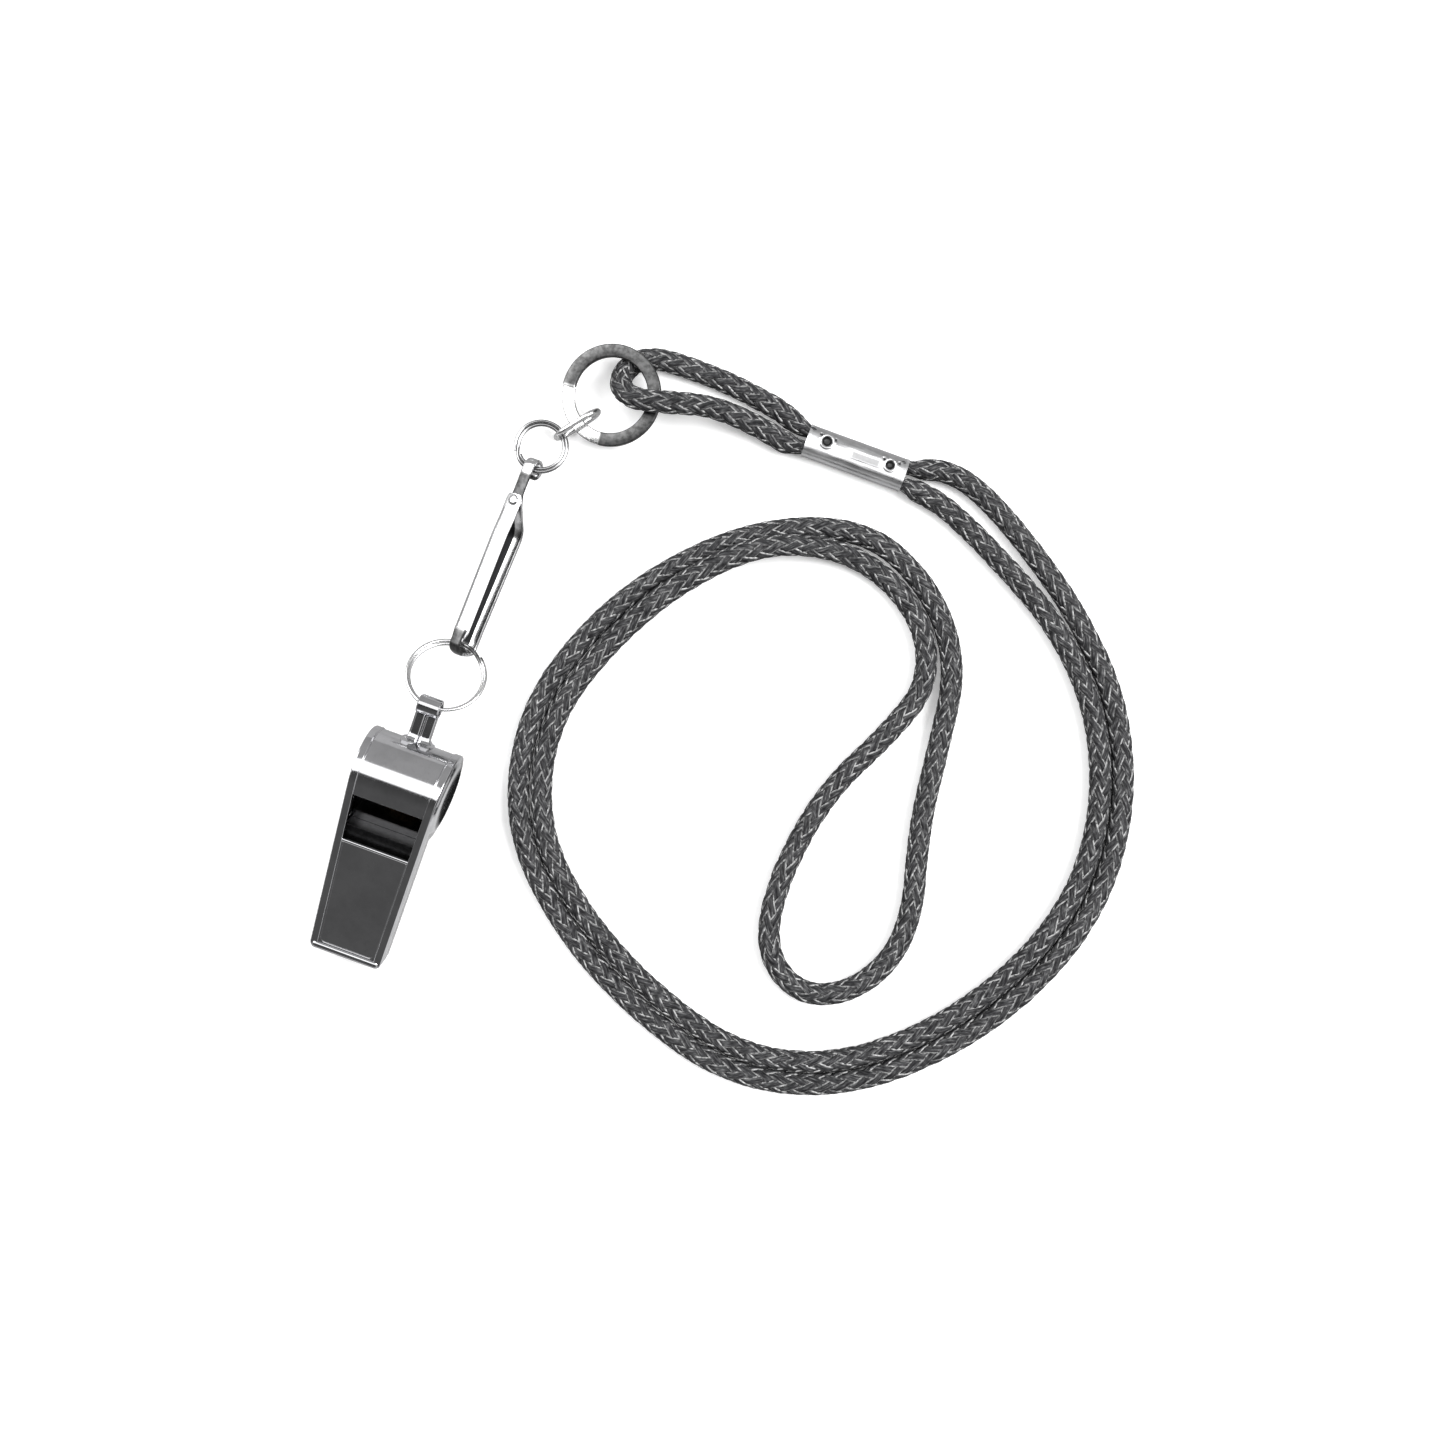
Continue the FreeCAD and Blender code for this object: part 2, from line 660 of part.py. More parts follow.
# The neck cord: out of the ferrule's right end, clockwise round the outside, back on itself through the
# teardrop at its end, and round again beside itself. At the top left it climbs on its first strand.
NECK_ROUTE = [
    (53.2, 75.6, 2.6),
    (62.5, 74.4, 2.5),
    (76.5, 67.2, 2.5),
    (94.5, 55.0, 2.5),
    (111.0, 38.5, 2.5),
    (121.0, 16.0, 2.5),
    (122.5, -8.0, 2.5),
    (114.5, -31.0, 2.5),
    (100.0, -51.5, 2.5),
    (80.0, -67.5, 2.5),
    (56.0, -73.0, 2.5),
    (31.5, -66.5, 2.5),
    (8.5, -54.5, 2.5),
    (-10.5, -36.0, 2.5),
    (-16.5, -10.5, 2.5),
    (-9.5, 13.5, 2.5),
    (3.0, 33.0, 2.5),
    (21.0, 49.0, 2.5),
    (43.0, 56.5, 2.5),
    (61.5, 48.5, 2.5),
    (73.0, 34.0, 2.5),
    (75.5, 15.0, 2.5),
    (77.5, -4.0, 2.5),
    (84.0, -27.0, 2.5),
    (79.0, -42.5, 2.5),
    (66.5, -50.5, 2.5),
    (54.0, -44.0, 2.5),
    (51.0, -27.0, 2.5),
    (54.5, -4.0, 2.5),
    (63.5, 13.5, 2.5),
    (68.5, 28.0, 2.5),
    (61.5, 42.0, 2.5),
    (44.0, 50.5, 2.5),
    (23.5, 46.5, 6.0),
    (7.5, 31.5, 6.6),
    (-3.5, 12.0, 3.2),
    (-10.8, -10.5, 2.5),
    (-5.2, -34.0, 2.5),
    (12.0, -49.8, 2.5),
    (33.5, -61.0, 2.5),
    (56.5, -67.0, 2.5),
    (77.5, -62.4, 2.5),
    (96.0, -47.8, 2.5),
    (109.5, -28.6, 2.5),
    (117.0, -7.0, 2.5),
    (115.5, 14.8, 2.5),
    (106.5, 35.0, 2.5),
    (91.5, 49.8, 2.5),
    (73.5, 60.5, 2.5),
    (58.0, 67.6, 2.5),
]

# The ring loop: out of the ferrule's left end, under the large ring's band, up round the fold inside the
# ring, over the band and back.
LOOP_ROUTE = [
    (14.5, 75.4, 2.6),
    (2.0, 77.2, 2.5),
    (-9.5, 77.4, 2.5),
    (-15.5, 77.0, 2.5),
    (-19.6, 75.4, 2.5),
    (-22.2, 72.0, 2.7),
    (-22.0, 67.8, 6.3),
    (-18.9, 65.2, 9.8),
    (-14.6, 65.2, 10.9),
    (-9.2, 67.0, 10.2),
    (0.0, 70.2, 6.6),
    (11.5, 70.0, 3.4),
]


def cord_radii(points):
    """Each arc as large as its two runs allow."""
    radii = []
    for before, corner, after in zip(points, points[1:], points[2:]):
        into, out = corner - before, after - corner
        radii.append(0.45 * min(into.Length, out.Length) / math.tan(into.getAngle(out) / 2))
    return radii


def squeezed_tail(end, lane):
    """The end of a strand inside the ferrule, pressed to an oval half as wide as the ferrule's inside."""
    half_width = (size("ferrule_width") / 2 - size("ferrule_wall")) / 2 - 0.02
    half_height = size("ferrule_height") / 2 - size("ferrule_wall") - 0.05
    section = Part.Ellipse(Vector(), half_height, half_width).toShape()
    face = Part.Face(Part.Wire([section]))
    start = Vector(end * MOUTH_RIGHT, lane * (half_width + 0.02), 0)
    face.Placement = FERRULE.multiply(Placement(start, ALONG_X.inverted()))
    inward = FERRULE.Rotation.multVec(X) * (-end * size("tail_length"))
    return face.extrude(inward)


def cord(name, route, end):
    """A plain tube along the route, from one lane of the ferrule's end to the other."""
    leave, arrive = ([mouth(end, lane), mouth(end, lane, 4.0)] for lane in (1, -1))
    points = [*leave, *(Vector(*point) for point in route), *reversed(arrive)]
    radii = cord_radii(points)
    path = tangent_path(points, radii)
    radius = size("cord_diameter") / 2
    tube = path.makePipeShell([round_section(points[0], points[1] - points[0], radius)], True, False)
    expected = math.pi * radius**2 * path.Length
    print(
        f"{name}: {path.Length:.1f} mm, volume {tube.Volume:.0f} of {expected:.0f} mm3, radii "
        + " ".join(f"{r:.0f}" if r > 20 else f"{r:.1f}" for r in radii)
    )
    if abs(tube.Volume / expected - 1) > 0.01:
        raise SystemExit(f"{name}: the tube's volume is off")
    solid = tube.fuse([squeezed_tail(end, 1), squeezed_tail(end, -1)])
    obj = doc.addObject("Part::Feature", name)
    obj.Shape = solid.Solids[0] if len(solid.Solids) == 1 else solid
    return obj


keep(cord("NeckCord", NECK_ROUTE, 1), "neck_cord")
keep(cord("RingLoopCord", LOOP_ROUTE, -1), "ring_loop_cord")

# ---------------------------------------------------------------- checks and files

doc.recompute()
for obj in doc.Objects:
    if "Invalid" in obj.State or "Error" in obj.State:
        raise SystemExit(f"{obj.Name}: {obj.State}")
os.makedirs("parts", exist_ok=True)
for obj in PARTS:
    shape = obj.Shape
    if shape.isNull() or not shape.isValid() or not shape.Solids:
        raise SystemExit(f"{obj.Label}: no valid solid")
    shape.exportStep(f"parts/{obj.Label}.step")
    print(f"{obj.Label}: {len(shape.Solids)} solid, {shape.Volume:.1f} mm3")

# Points that the joints and the mounts are stated at.
PLACES = {
    "barrel centre": barrel_centre,
    "lug eye": lug_eye,
    "hook bend": hook_bend,
    "gate hinge": HOOK.multVec(at(size("gate_hinge"), root_level - half_gate)),
    "hook eye": hook_eye,
    "link root": link_root,
    "link crossing": link_crossing,
    "large ring centre": large_ring_centre,
}
for word, place in PLACES.items():
    print(f"{word}: {place.x:.3f} {place.y:.3f} {place.z:.3f}")
print(f"whistle tilt {whistle_tilt:.2f}, ring slope {ring_slope:.2f}, small slope {small_slope:.2f}")
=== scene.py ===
import json
import math

import bpy
import numpy as np
from mathutils import Matrix, Vector


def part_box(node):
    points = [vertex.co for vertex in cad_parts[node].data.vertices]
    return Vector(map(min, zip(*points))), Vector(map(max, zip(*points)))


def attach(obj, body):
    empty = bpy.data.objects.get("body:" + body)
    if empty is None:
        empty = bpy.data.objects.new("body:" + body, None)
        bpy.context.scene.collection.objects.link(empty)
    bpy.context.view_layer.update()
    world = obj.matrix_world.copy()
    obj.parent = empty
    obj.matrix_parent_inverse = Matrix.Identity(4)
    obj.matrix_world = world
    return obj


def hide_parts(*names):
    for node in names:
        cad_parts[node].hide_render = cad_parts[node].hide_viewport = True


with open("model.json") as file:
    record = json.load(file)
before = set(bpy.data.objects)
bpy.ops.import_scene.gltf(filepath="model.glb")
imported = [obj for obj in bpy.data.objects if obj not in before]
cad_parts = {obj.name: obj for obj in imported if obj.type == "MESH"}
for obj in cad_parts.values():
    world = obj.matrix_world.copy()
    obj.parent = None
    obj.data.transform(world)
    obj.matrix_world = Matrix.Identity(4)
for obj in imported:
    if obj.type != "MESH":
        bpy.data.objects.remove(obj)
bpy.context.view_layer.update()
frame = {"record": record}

# A pea whistle on its lanyard. Shapes are worked out in millimetres and written to the meshes in metres.
MM = 0.001
rng = np.random.default_rng(7)

PIVOT = {j["name"]: Vector(j["pos_m"]) / MM for j in frame["record"]["behaviour"]["joints"]}


def middle(node):
    low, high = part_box(node)
    return (Vector(low) + Vector(high)) / (2 * MM)


# ---------------------------------------------------------------- camera

CAMERA_SPOT = Vector((25.95, 3.4, 350.0))
FIELD = 334.9  # what the frame takes in at the floor, in millimetres
camera = bpy.data.objects.new("camera", bpy.data.cameras.new("camera"))
camera.data.sensor_width = 36.0
camera.data.lens = 36.0 * CAMERA_SPOT.z / FIELD
camera.data.clip_start = 0.01
camera.location = CAMERA_SPOT * MM
camera.rotation_euler = (0.0, 0.0, math.radians(20.0))
bpy.context.scene.collection.objects.link(camera)
bpy.context.scene.camera = camera

# ---------------------------------------------------------------- materials


class Nodes:
    """A short way to write a material's node tree."""

    def __init__(self, name):
        self.material = bpy.data.materials.new(name)
        self.material.use_nodes = True
        self.tree = self.material.node_tree
        self.shader = self.tree.nodes["Principled BSDF"]
        self.place = self.add("ShaderNodeTexCoord").outputs["Object"]

    def add(self, kind, inputs=None, **settings):
        node = self.tree.nodes.new(kind)
        for key, value in settings.items():
            setattr(node, key, value)
        for key, value in (inputs or {}).items():
            self.feed(node.inputs[key], value)
        return node

    def feed(self, socket, value):
        if isinstance(value, bpy.types.NodeSocket):
            self.tree.links.new(value, socket)
        else:
            socket.default_value = value

    def noise(self, scale, detail, stretch=None):
        place = self.place
        if stretch:
            place = self.add("ShaderNodeMapping", {"Vector": place, "Scale": stretch}).outputs[0]
        inputs = {"Vector": place, "Scale": scale, "Detail": detail, "Roughness": 0.55}
        return self.add("ShaderNodeTexNoise", inputs).outputs["Fac"]

    def ramp(self, value, *stops):
        node = self.add("ShaderNodeValToRGB", {"Fac": value})
        elements = node.color_ramp.elements
        while len(elements) < len(stops):
            elements.new(0.5)
        for element, (position, shade) in zip(elements, stops):
            element.position = position
            element.color = (*shade, 1.0) if isinstance(shade, tuple) else (shade, shade, shade, 1.0)
        return node.outputs["Color"]

    def blend(self, factor, low, high, mode="MIX"):
        node = self.add("ShaderNodeMix", data_type="RGBA", blend_type=mode)
        for index, value in ((0, factor), (6, low), (7, high)):
            self.feed(node.inputs[index], value)
        return node.outputs[2]

    def span(self, value, low, high):
        """Maps 0..1 to low..high."""
        inputs = {"Value": value, "To Min": low, "To Max": high}
        return self.add("ShaderNodeMapRange", inputs).outputs[0]

    def bump(self, height, distance, strength, normal=None):
        inputs = {"Height": height, "Distance": distance, "Strength": strength}
        if normal is not None:
            inputs["Normal"] = normal
        return self.add("ShaderNodeBump", inputs).outputs[0]

    def finish(self, **inputs):
        for key, value in inputs.items():
            self.feed(self.shader.inputs[key.replace("_", " ")], value)
        return self.material


def metal(name, shade, rough, streak=(1.0, 1.0, 1.0), wear=0.5, grain=0.4, dim_level=0.10):
    """Plated metal: fine scratches along a direction, faint handling marks and a little tarnish.

    Where the attribute that the pieces paint by place is 0.5 it is unplated metal of the dim shade given, and
    at 1 it is black. It paints wear, and also painted shade and dark reflections."""
    n = Nodes(name)
    marks = n.noise(900.0, 5.0)
    streaks = n.noise(2600.0, 4.0, stretch=streak)
    cloudy = n.noise(140.0, 4.0)
    dim, bright = (tuple(c * k for c in shade) for k in (1.0 - 0.22 * wear, 1.0))
    colour = n.blend(n.ramp(cloudy, (0.32, 0.0), (0.62, 1.0)), (*dim, 1.0), (*bright, 1.0))
    colour = n.blend(n.ramp(marks, (0.3, 0.55), (0.42, 1.0)), (*dim, 1.0), colour)
    # The attribute read here paints wear, and also painted shade and dark reflections: 0.5 gives the bare
    # tone, 1 black.
    wear_and_shade = n.add("ShaderNodeAttribute", attribute_name="wear_and_shade").outputs["Fac"]
    wear_and_shade_tone = n.ramp(marks, (0.35, dim_level * 0.6), (0.62, dim_level * 1.35))
    colour = n.blend(n.ramp(wear_and_shade, (0.0, 0.0), (0.5, 1.0)), colour, wear_and_shade_tone)
    colour = n.blend(n.ramp(wear_and_shade, (0.5, 0.0), (1.0, 1.0)), colour, (0.016, 0.016, 0.017, 1.0))
    roughness = n.span(n.ramp(streaks, (0.3, 0.0), (0.75, 1.0)), rough * 0.75, rough * 1.5)
    rough_add = n.add("ShaderNodeMath", {0: wear_and_shade, 1: 0.28, 2: roughness}, operation="MULTIPLY_ADD")
    roughness = rough_add.outputs[0]
    normal = n.bump(streaks, 0.000012 * grain, 0.6, n.bump(cloudy, 0.00012 * grain, 0.35))
    return n.finish(Base_Color=colour, Metallic=1.0, Roughness=roughness, Normal=normal)


def braid_material():
    """Dark polyester yarn. The edges of each plait are paler as a painted highlight, and stray pale filaments
    run along it.
    """
    n = Nodes("braided_yarn")
    across = n.add("ShaderNodeAttribute", attribute_name="across").outputs["Fac"]
    along = n.add("ShaderNodeAttribute", attribute_name="yarn").outputs["Vector"]
    inputs = {"Vector": along, "Scale": 1.0, "Detail": 3.0, "Roughness": 0.6}
    filament = n.add("ShaderNodeTexNoise", inputs).outputs["Fac"]
    patch = n.noise(420.0, 3.0)
    dark, mid, pale = (0.007, 0.007, 0.008), (0.044, 0.044, 0.046), (0.62, 0.62, 0.62)
    speck = n.noise(1500.0, 2.0)
    body = n.ramp(filament, (0.36, dark), (0.56, mid), (0.72, (0.15, 0.15, 0.152)))
    # The plaits' edges are paler as a painted highlight, broken up by patch and speck noise.
    edge = n.ramp(across, (0.42, 0.0), (0.92, 1.0))
    pick = n.ramp(patch, (0.38, 0.2), (0.56, 1.0))
    edge = n.blend(1.0, edge, pick, "MULTIPLY")
    edge = n.blend(1.0, edge, n.ramp(speck, (0.36, 0.15), (0.56, 1.0)), "MULTIPLY")
    colour = n.blend(edge, body, (*pale, 1.0))
    normal = n.bump(filament, 0.00012, 0.9)
    return n.finish(
        Base_Color=colour, Roughness=0.62, Normal=normal, Specular_IOR_Level=0.12,
    )


def cork_material():
    n = Nodes("cork")
    grain = n.noise(900.0, 5.0)
    pits = n.add("ShaderNodeTexVoronoi", {"Vector": n.place, "Scale": 1100.0}).outputs["Distance"]
    dark, mid, pale = (0.16, 0.085, 0.035), (0.36, 0.22, 0.11), (0.5, 0.34, 0.19)
    colour = n.ramp(grain, (0.35, dark), (0.55, mid), (0.75, pale))
    dots = n.ramp(pits, (0.12, 0.25), (0.3, 1.0))
    colour = n.blend(1.0, colour, dots, "MULTIPLY")
    return n.finish(Base_Color=colour, Roughness=0.85, Normal=n.bump(pits, 0.0002, 0.8))


NICKEL = metal("nickel_plate", (0.63, 0.63, 0.645), 0.10, streak=(1.0, 0.08, 1.0), wear=0.7)
WIRE = metal("bright_wire", (0.38, 0.38, 0.385), 0.16, wear=0.7, dim_level=0.06)
CLEAN_WIRE = metal("clean_wire", (0.86, 0.86, 0.865), 0.20, wear=0.3, dim_level=0.12)
BAND = metal("drawn_band", (0.80, 0.80, 0.80), 0.22, wear=0.8, grain=1.0, dim_level=0.095)
STRIP = metal("rolled_strip", (0.84, 0.84, 0.85), 0.16, streak=(1.0, 0.06, 1.0), wear=0.4, dim_level=0.11)
SLEEVE = metal("pressed_sleeve", (0.74, 0.74, 0.75), 0.33, streak=(0.1, 1.0, 1.0), wear=0.8, grain=1.6)
BRAID = braid_material()
CORK = cork_material()

# ---------------------------------------------------------------- mesh tools


def piece(name, shells, material, body, nodes, place, sharp=35.0, bevel=0.0, wear_and_shade=None):
    """One object from shells of (points in mm, faces). place moves them from their own frame.

    The last argument gives, for a point in that frame, how dark the metal is painted there: 0 plated, 0.5
    bare, 1 black. It paints wear, and also painted shade and dark reflections."""
    points, faces = [], []
    for shell_points, shell_faces in shells:
        start = len(points)
        points.extend(Vector(p) for p in shell_points)
        faces.extend(tuple(start + i for i in face) for face in shell_faces)
    mesh = bpy.data.meshes.new(name)
    mesh.from_pydata([(place @ p) * MM for p in points], [], faces)
    if wear_and_shade:
        shares = np.array([wear_and_shade(p) for p in points], np.float32)
        mesh.attributes.new("wear_and_shade", "FLOAT", "POINT").data.foreach_set("value", shares)
    mesh.materials.append(material)
    mesh.shade_smooth()
    mesh.set_sharp_from_angle(angle=math.radians(sharp))
    obj = bpy.data.objects.new(name, mesh)
    bpy.context.scene.collection.objects.link(obj)
    if bevel:
        modifier = obj.modifiers.new("edges", "BEVEL")
        modifier.width = bevel * MM
        modifier.segments = 3
        modifier.limit_method = "ANGLE"
        modifier.angle_limit = math.radians(sharp)
        modifier.harden_normals = True
    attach(obj, body)
    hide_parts(*nodes)


def loft(rings, closed=False):
    """Quads between rings of equally many points, each ring closed. closed joins the last to the first."""
    count, size = len(rings), len(rings[0])
    points = [p for ring in rings for p in ring]
    faces = []
    for i in range(count if closed else count - 1):
        j = (i + 1) % count
        for k in range(size):
            m = (k + 1) % size
            faces.append((i * size + k, i * size + m, j * size + m, j * size + k))
    if not closed:
        faces.append(tuple(reversed(range(size))))
        faces.append(tuple(range((count - 1) * size, count * size)))
    return points, faces


def flip(shell):
    points, faces = shell
    return points, [tuple(reversed(face)) for face in faces]


def smooth(t):
    t = min(max(t, 0.0), 1.0)
    return t * t * (3 - 2 * t)


def rounded_path(corners, radii, step=0.4):
    """Points along straight runs joined by arcs, in the plane of two coordinates."""
    corners = [np.array(c, float) for c in corners]
    out = [corners[0]]
    for before, corner, after, radius in zip(corners, corners[1:], corners[2:], radii):
        a, b = before - corner, after - corner
        a, b = a / np.linalg.norm(a), b / np.linalg.norm(b)
        half = math.acos(max(-1.0, min(1.0, float(a @ b)))) / 2
        reach = radius / math.tan(half)
        centre = corner + (a + b) / np.linalg.norm(a + b) * radius / math.sin(half)
        start, end = corner + a * reach - centre, corner + b * reach - centre
        turn = math.atan2(start[0] * end[1] - start[1] * end[0], float(start @ end))
        count = max(2, int(abs(turn) * radius / step) + 1)
        for i in range(count + 1):
            angle = turn * i / count
            c, s = math.cos(angle), math.sin(angle)
            out.append(centre + np.array([c * start[0] - s * start[1], s * start[0] + c * start[1]]))
    out.append(corners[-1])
    dense = [out[0]]
    for point in out[1:]:
        gap = np.linalg.norm(point - dense[-1])
        if gap < 1e-6:
            continue
        last, cuts = dense[-1], int(gap / (3 * step))
        for i in range(1, cuts + 1):
            dense.append(last + (point - last) * i / (cuts + 1))
        dense.append(point)
    return dense


def arc_points(centre, radius, start, end, step=6.0):
    """Points on an arc, angles in degrees."""
    count = max(2, int(abs(end - start) / step))
    angles = [math.radians(start + (end - start) * i / count) for i in range(count + 1)]
    return [(centre[0] + radius * math.cos(a), centre[1] + radius * math.sin(a)) for a in angles]


def rounded_section(width, height, corner, steps=3):
    """A rectangle with rounded corners, as (across, up) pairs."""
    points = []
    for sx, sy, start in ((1, 1, 0), (-1, 1, 90), (-1, -1, 180), (1, -1, 270)):
        centre = (sx * (width / 2 - corner), sy * (height / 2 - corner))
        points += arc_points(centre, corner, start, start + 90, 90 / steps)
    return points


def strip(path, section_at):
    """A strip bent in the YZ plane. section_at(i, share) gives its (across, up) section at a point."""
    path = [np.array(p, float) for p in path]
    rings = []
    for i, point in enumerate(path):
        ahead, behind = path[min(i + 1, len(path) - 1)], path[max(i - 1, 0)]
        t = (ahead - behind) / np.linalg.norm(ahead - behind)
        up = np.array([-t[1], t[0]])
        section = section_at(i, i / (len(path) - 1))
        rings.append([(a, point[0] + up[0] * b, point[1] + up[1] * b) for a, b in section])
    return loft(rings)


def frames_along(points, closed=False):
    """Tangents and two cross directions that turn as little as possible along the points."""
    points = np.asarray(points, float)
    if closed:
        tangents = np.roll(points, -1, 0) - np.roll(points, 1, 0)
    else:
        tangents = np.gradient(points, axis=0)
    tangents /= np.linalg.norm(tangents, axis=1)[:, None]
    side = np.cross(tangents[0], (0.0, 0.0, 1.0))
    if np.linalg.norm(side) < 1e-3:
        side = np.cross(tangents[0], (0.0, 1.0, 0.0))
    sides = []
    for tangent in tangents:
        side = side - tangent * (side @ tangent)
        side = side / np.linalg.norm(side)
        sides.append(side)
    sides = np.array(sides)
    return tangents, sides, np.cross(sides, tangents)


def wire(points, section, closed=False, fixed_up=None):
    """A section of (across, up) pairs carried along points in space."""
    tangents, sides, ups = frames_along(points, closed)
    if fixed_up is not None:
        sides = np.cross(tangents, fixed_up)
        sides /= np.linalg.norm(sides, axis=1)[:, None]
        ups = np.cross(sides, tangents)
    rings = []
    for p, s, u in zip(np.asarray(points, float), sides, ups):
        rings.append([tuple(p + s * a + u * b) for a, b in section])
    return loft(rings, closed)


def disc_section(radius, count):
    angles = [2 * math.pi * i / count for i in range(count)]
    return [(radius * math.cos(a), radius * math.sin(a)) for a in angles]


def lathe(profile, count):
    """Turns (radius, height) pairs about +Z. The first and last pairs lie on the axis."""
    points, faces = [(0, 0, profile[0][1])], []
    for radius, height in profile[1:-1]:
        for i in range(count):
            a = 2 * math.pi * i / count
            points.append((radius * math.cos(a), radius * math.sin(a), height))
    points.append((0, 0, profile[-1][1]))
    last, rows = len(points) - 1, len(profile) - 2
    for i in range(count):
        j = (i + 1) % count
        faces.append((0, 1 + j, 1 + i))
        for row in range(rows - 1):
            a, b = 1 + row * count, 1 + (row + 1) * count
            faces.append((a + i, a + j, b + j, b + i))
        tail = 1 + (rows - 1) * count
        faces.append((tail + i, tail + j, last))
    return points, faces


# ---------------------------------------------------------------- cords

FERRULE = middle("crimp_ferrule")
FERRULE_HALF = 12.0
BRAID_RADIUS = 2.56

# Control points of the neck cord in metres: right end of the ferrule, round the outside, back through
# the teardrop, round again beside itself and into the ferrule.
NECK = [
    (0.0436, 0.0726, 0.0031), (0.0470, 0.0728, 0.0031), (0.0505, 0.0736, 0.0031),
    (0.0545, 0.0752, 0.0027), (0.0625, 0.0744, 0.0026), (0.0765, 0.0672, 0.0026),
    (0.0945, 0.0550, 0.0026), (0.1110, 0.0385, 0.0026), (0.1210, 0.0160, 0.0026),
    (0.1225, -0.0080, 0.0026), (0.1145, -0.0310, 0.0026), (0.1000, -0.0515, 0.0026),
    (0.0800, -0.0675, 0.0026), (0.0560, -0.0730, 0.0026), (0.0315, -0.0665, 0.0026),
    (0.0085, -0.0545, 0.0026), (-0.0105, -0.0360, 0.0026), (-0.0165, -0.0105, 0.0026),
    (-0.0095, 0.0135, 0.0026), (0.0030, 0.0330, 0.0026), (0.0210, 0.0490, 0.0026),
    (0.0430, 0.0565, 0.0026), (0.0615, 0.0485, 0.0026), (0.0730, 0.0340, 0.0026),
    (0.0755, 0.0150, 0.0026), (0.0775, -0.0040, 0.0026), (0.0840, -0.0270, 0.0026),
    (0.0790, -0.0425, 0.0026), (0.0665, -0.0505, 0.0026), (0.0540, -0.0440, 0.0026),
    (0.0510, -0.0270, 0.0026), (0.0545, -0.0040, 0.0026), (0.0635, 0.0135, 0.0026),
    (0.0685, 0.0280, 0.0026), (0.0615, 0.0420, 0.0026), (0.0440, 0.0505, 0.0026),
    (0.0235, 0.0465, 0.0060), (0.0075, 0.0315, 0.0066), (-0.0042, 0.0123, 0.0033),
    (-0.0114, -0.0105, 0.0026), (-0.0054, -0.0342, 0.0026), (0.0116, -0.0503, 0.0026),
    (0.0333, -0.0616, 0.0026), (0.0565, -0.0678, 0.0026), (0.0777, -0.0628, 0.0026),
    (0.0962, -0.0480, 0.0026), (0.1098, -0.0288, 0.0026), (0.1174, -0.0071, 0.0026),
    (0.1159, 0.0149, 0.0026), (0.1068, 0.0352, 0.0026), (0.0920, 0.0503, 0.0026),
    (0.0735, 0.0605, 0.0026), (0.0580, 0.0676, 0.0026), (0.0505, 0.0685, 0.0031),
    (0.0470, 0.0690, 0.0031), (0.0436, 0.0692, 0.0031),
]

# Control points of the ring loop in metres: left end of the ferrule, under the large ring's band, up
# and over it and back.
LOOP = [
    (0.0256, 0.0726, 0.0031), (0.0222, 0.0728, 0.0031), (0.0186, 0.0738, 0.0029),
    (0.0145, 0.0754, 0.0026), (0.0020, 0.0772, 0.0026), (-0.0095, 0.0774, 0.0026),
    (-0.0155, 0.0770, 0.0026), (-0.0196, 0.0754, 0.0026), (-0.0222, 0.0720, 0.0028),
    (-0.0220, 0.0678, 0.0063), (-0.0189, 0.0652, 0.0098), (-0.0146, 0.0652, 0.0109),
    (-0.0092, 0.0670, 0.0102), (0.0, 0.0702, 0.0066), (0.0115, 0.0700, 0.0036),
    (0.0186, 0.0684, 0.0031), (0.0222, 0.0690, 0.0031), (0.0256, 0.0692, 0.0031),
]


def spline_points(name, controls, spacing):
    """Evenly spaced points, in mm, on the smooth line through a cord's control points."""
    curve = bpy.data.curves.new(name, "CURVE")
    curve.dimensions = "3D"
    curve.resolution_u = 24
    spline = curve.splines.new("NURBS")
    spline.points.add(len(controls) - 1)
    for point, place in zip(spline.points, controls):
        point.co = (*place, 1.0)
    spline.order_u = 3
    spline.use_endpoint_u = True
    guide = bpy.data.objects.new(name, curve)
    line = bpy.data.meshes.new_from_object(guide)
    points = np.array([tuple(v.co) for v in line.vertices]) / MM
    bpy.data.objects.remove(guide)
    bpy.data.meshes.remove(line)
    steps = np.linalg.norm(np.diff(points, axis=0), axis=1)
    reach = np.concatenate([[0.0], np.cumsum(steps)])
    count = int(reach[-1] / spacing) + 1
    wanted = np.linspace(0.0, reach[-1], count)
    return np.stack([np.interp(wanted, reach, points[:, i]) for i in range(3)], 1), reach[-1]


PLAITS = 8  # each way round
LAY = 32.6  # millimetres along the cord for one turn of a plait
PLAIT_WIDTH = 1.80
PLAIT_THICKNESS = 0.86
PLAIT_LIFT = 0.27  # how far a plait rises where it goes over the others, and sinks where it goes under
WOBBLE, WOBBLE_EVERY = 0.035, 9  # unevenness of the braid, and how far apart its random values lie
PRESSED = 0.38  # the share by which the ferrule narrows the braid
PRESSED_REACH = 4.5  # how far outside the ferrule the narrowing dies out
YARN_SCALE = 0.55  # noise cells per millimetre along a filament
CORE_POINTS = 10


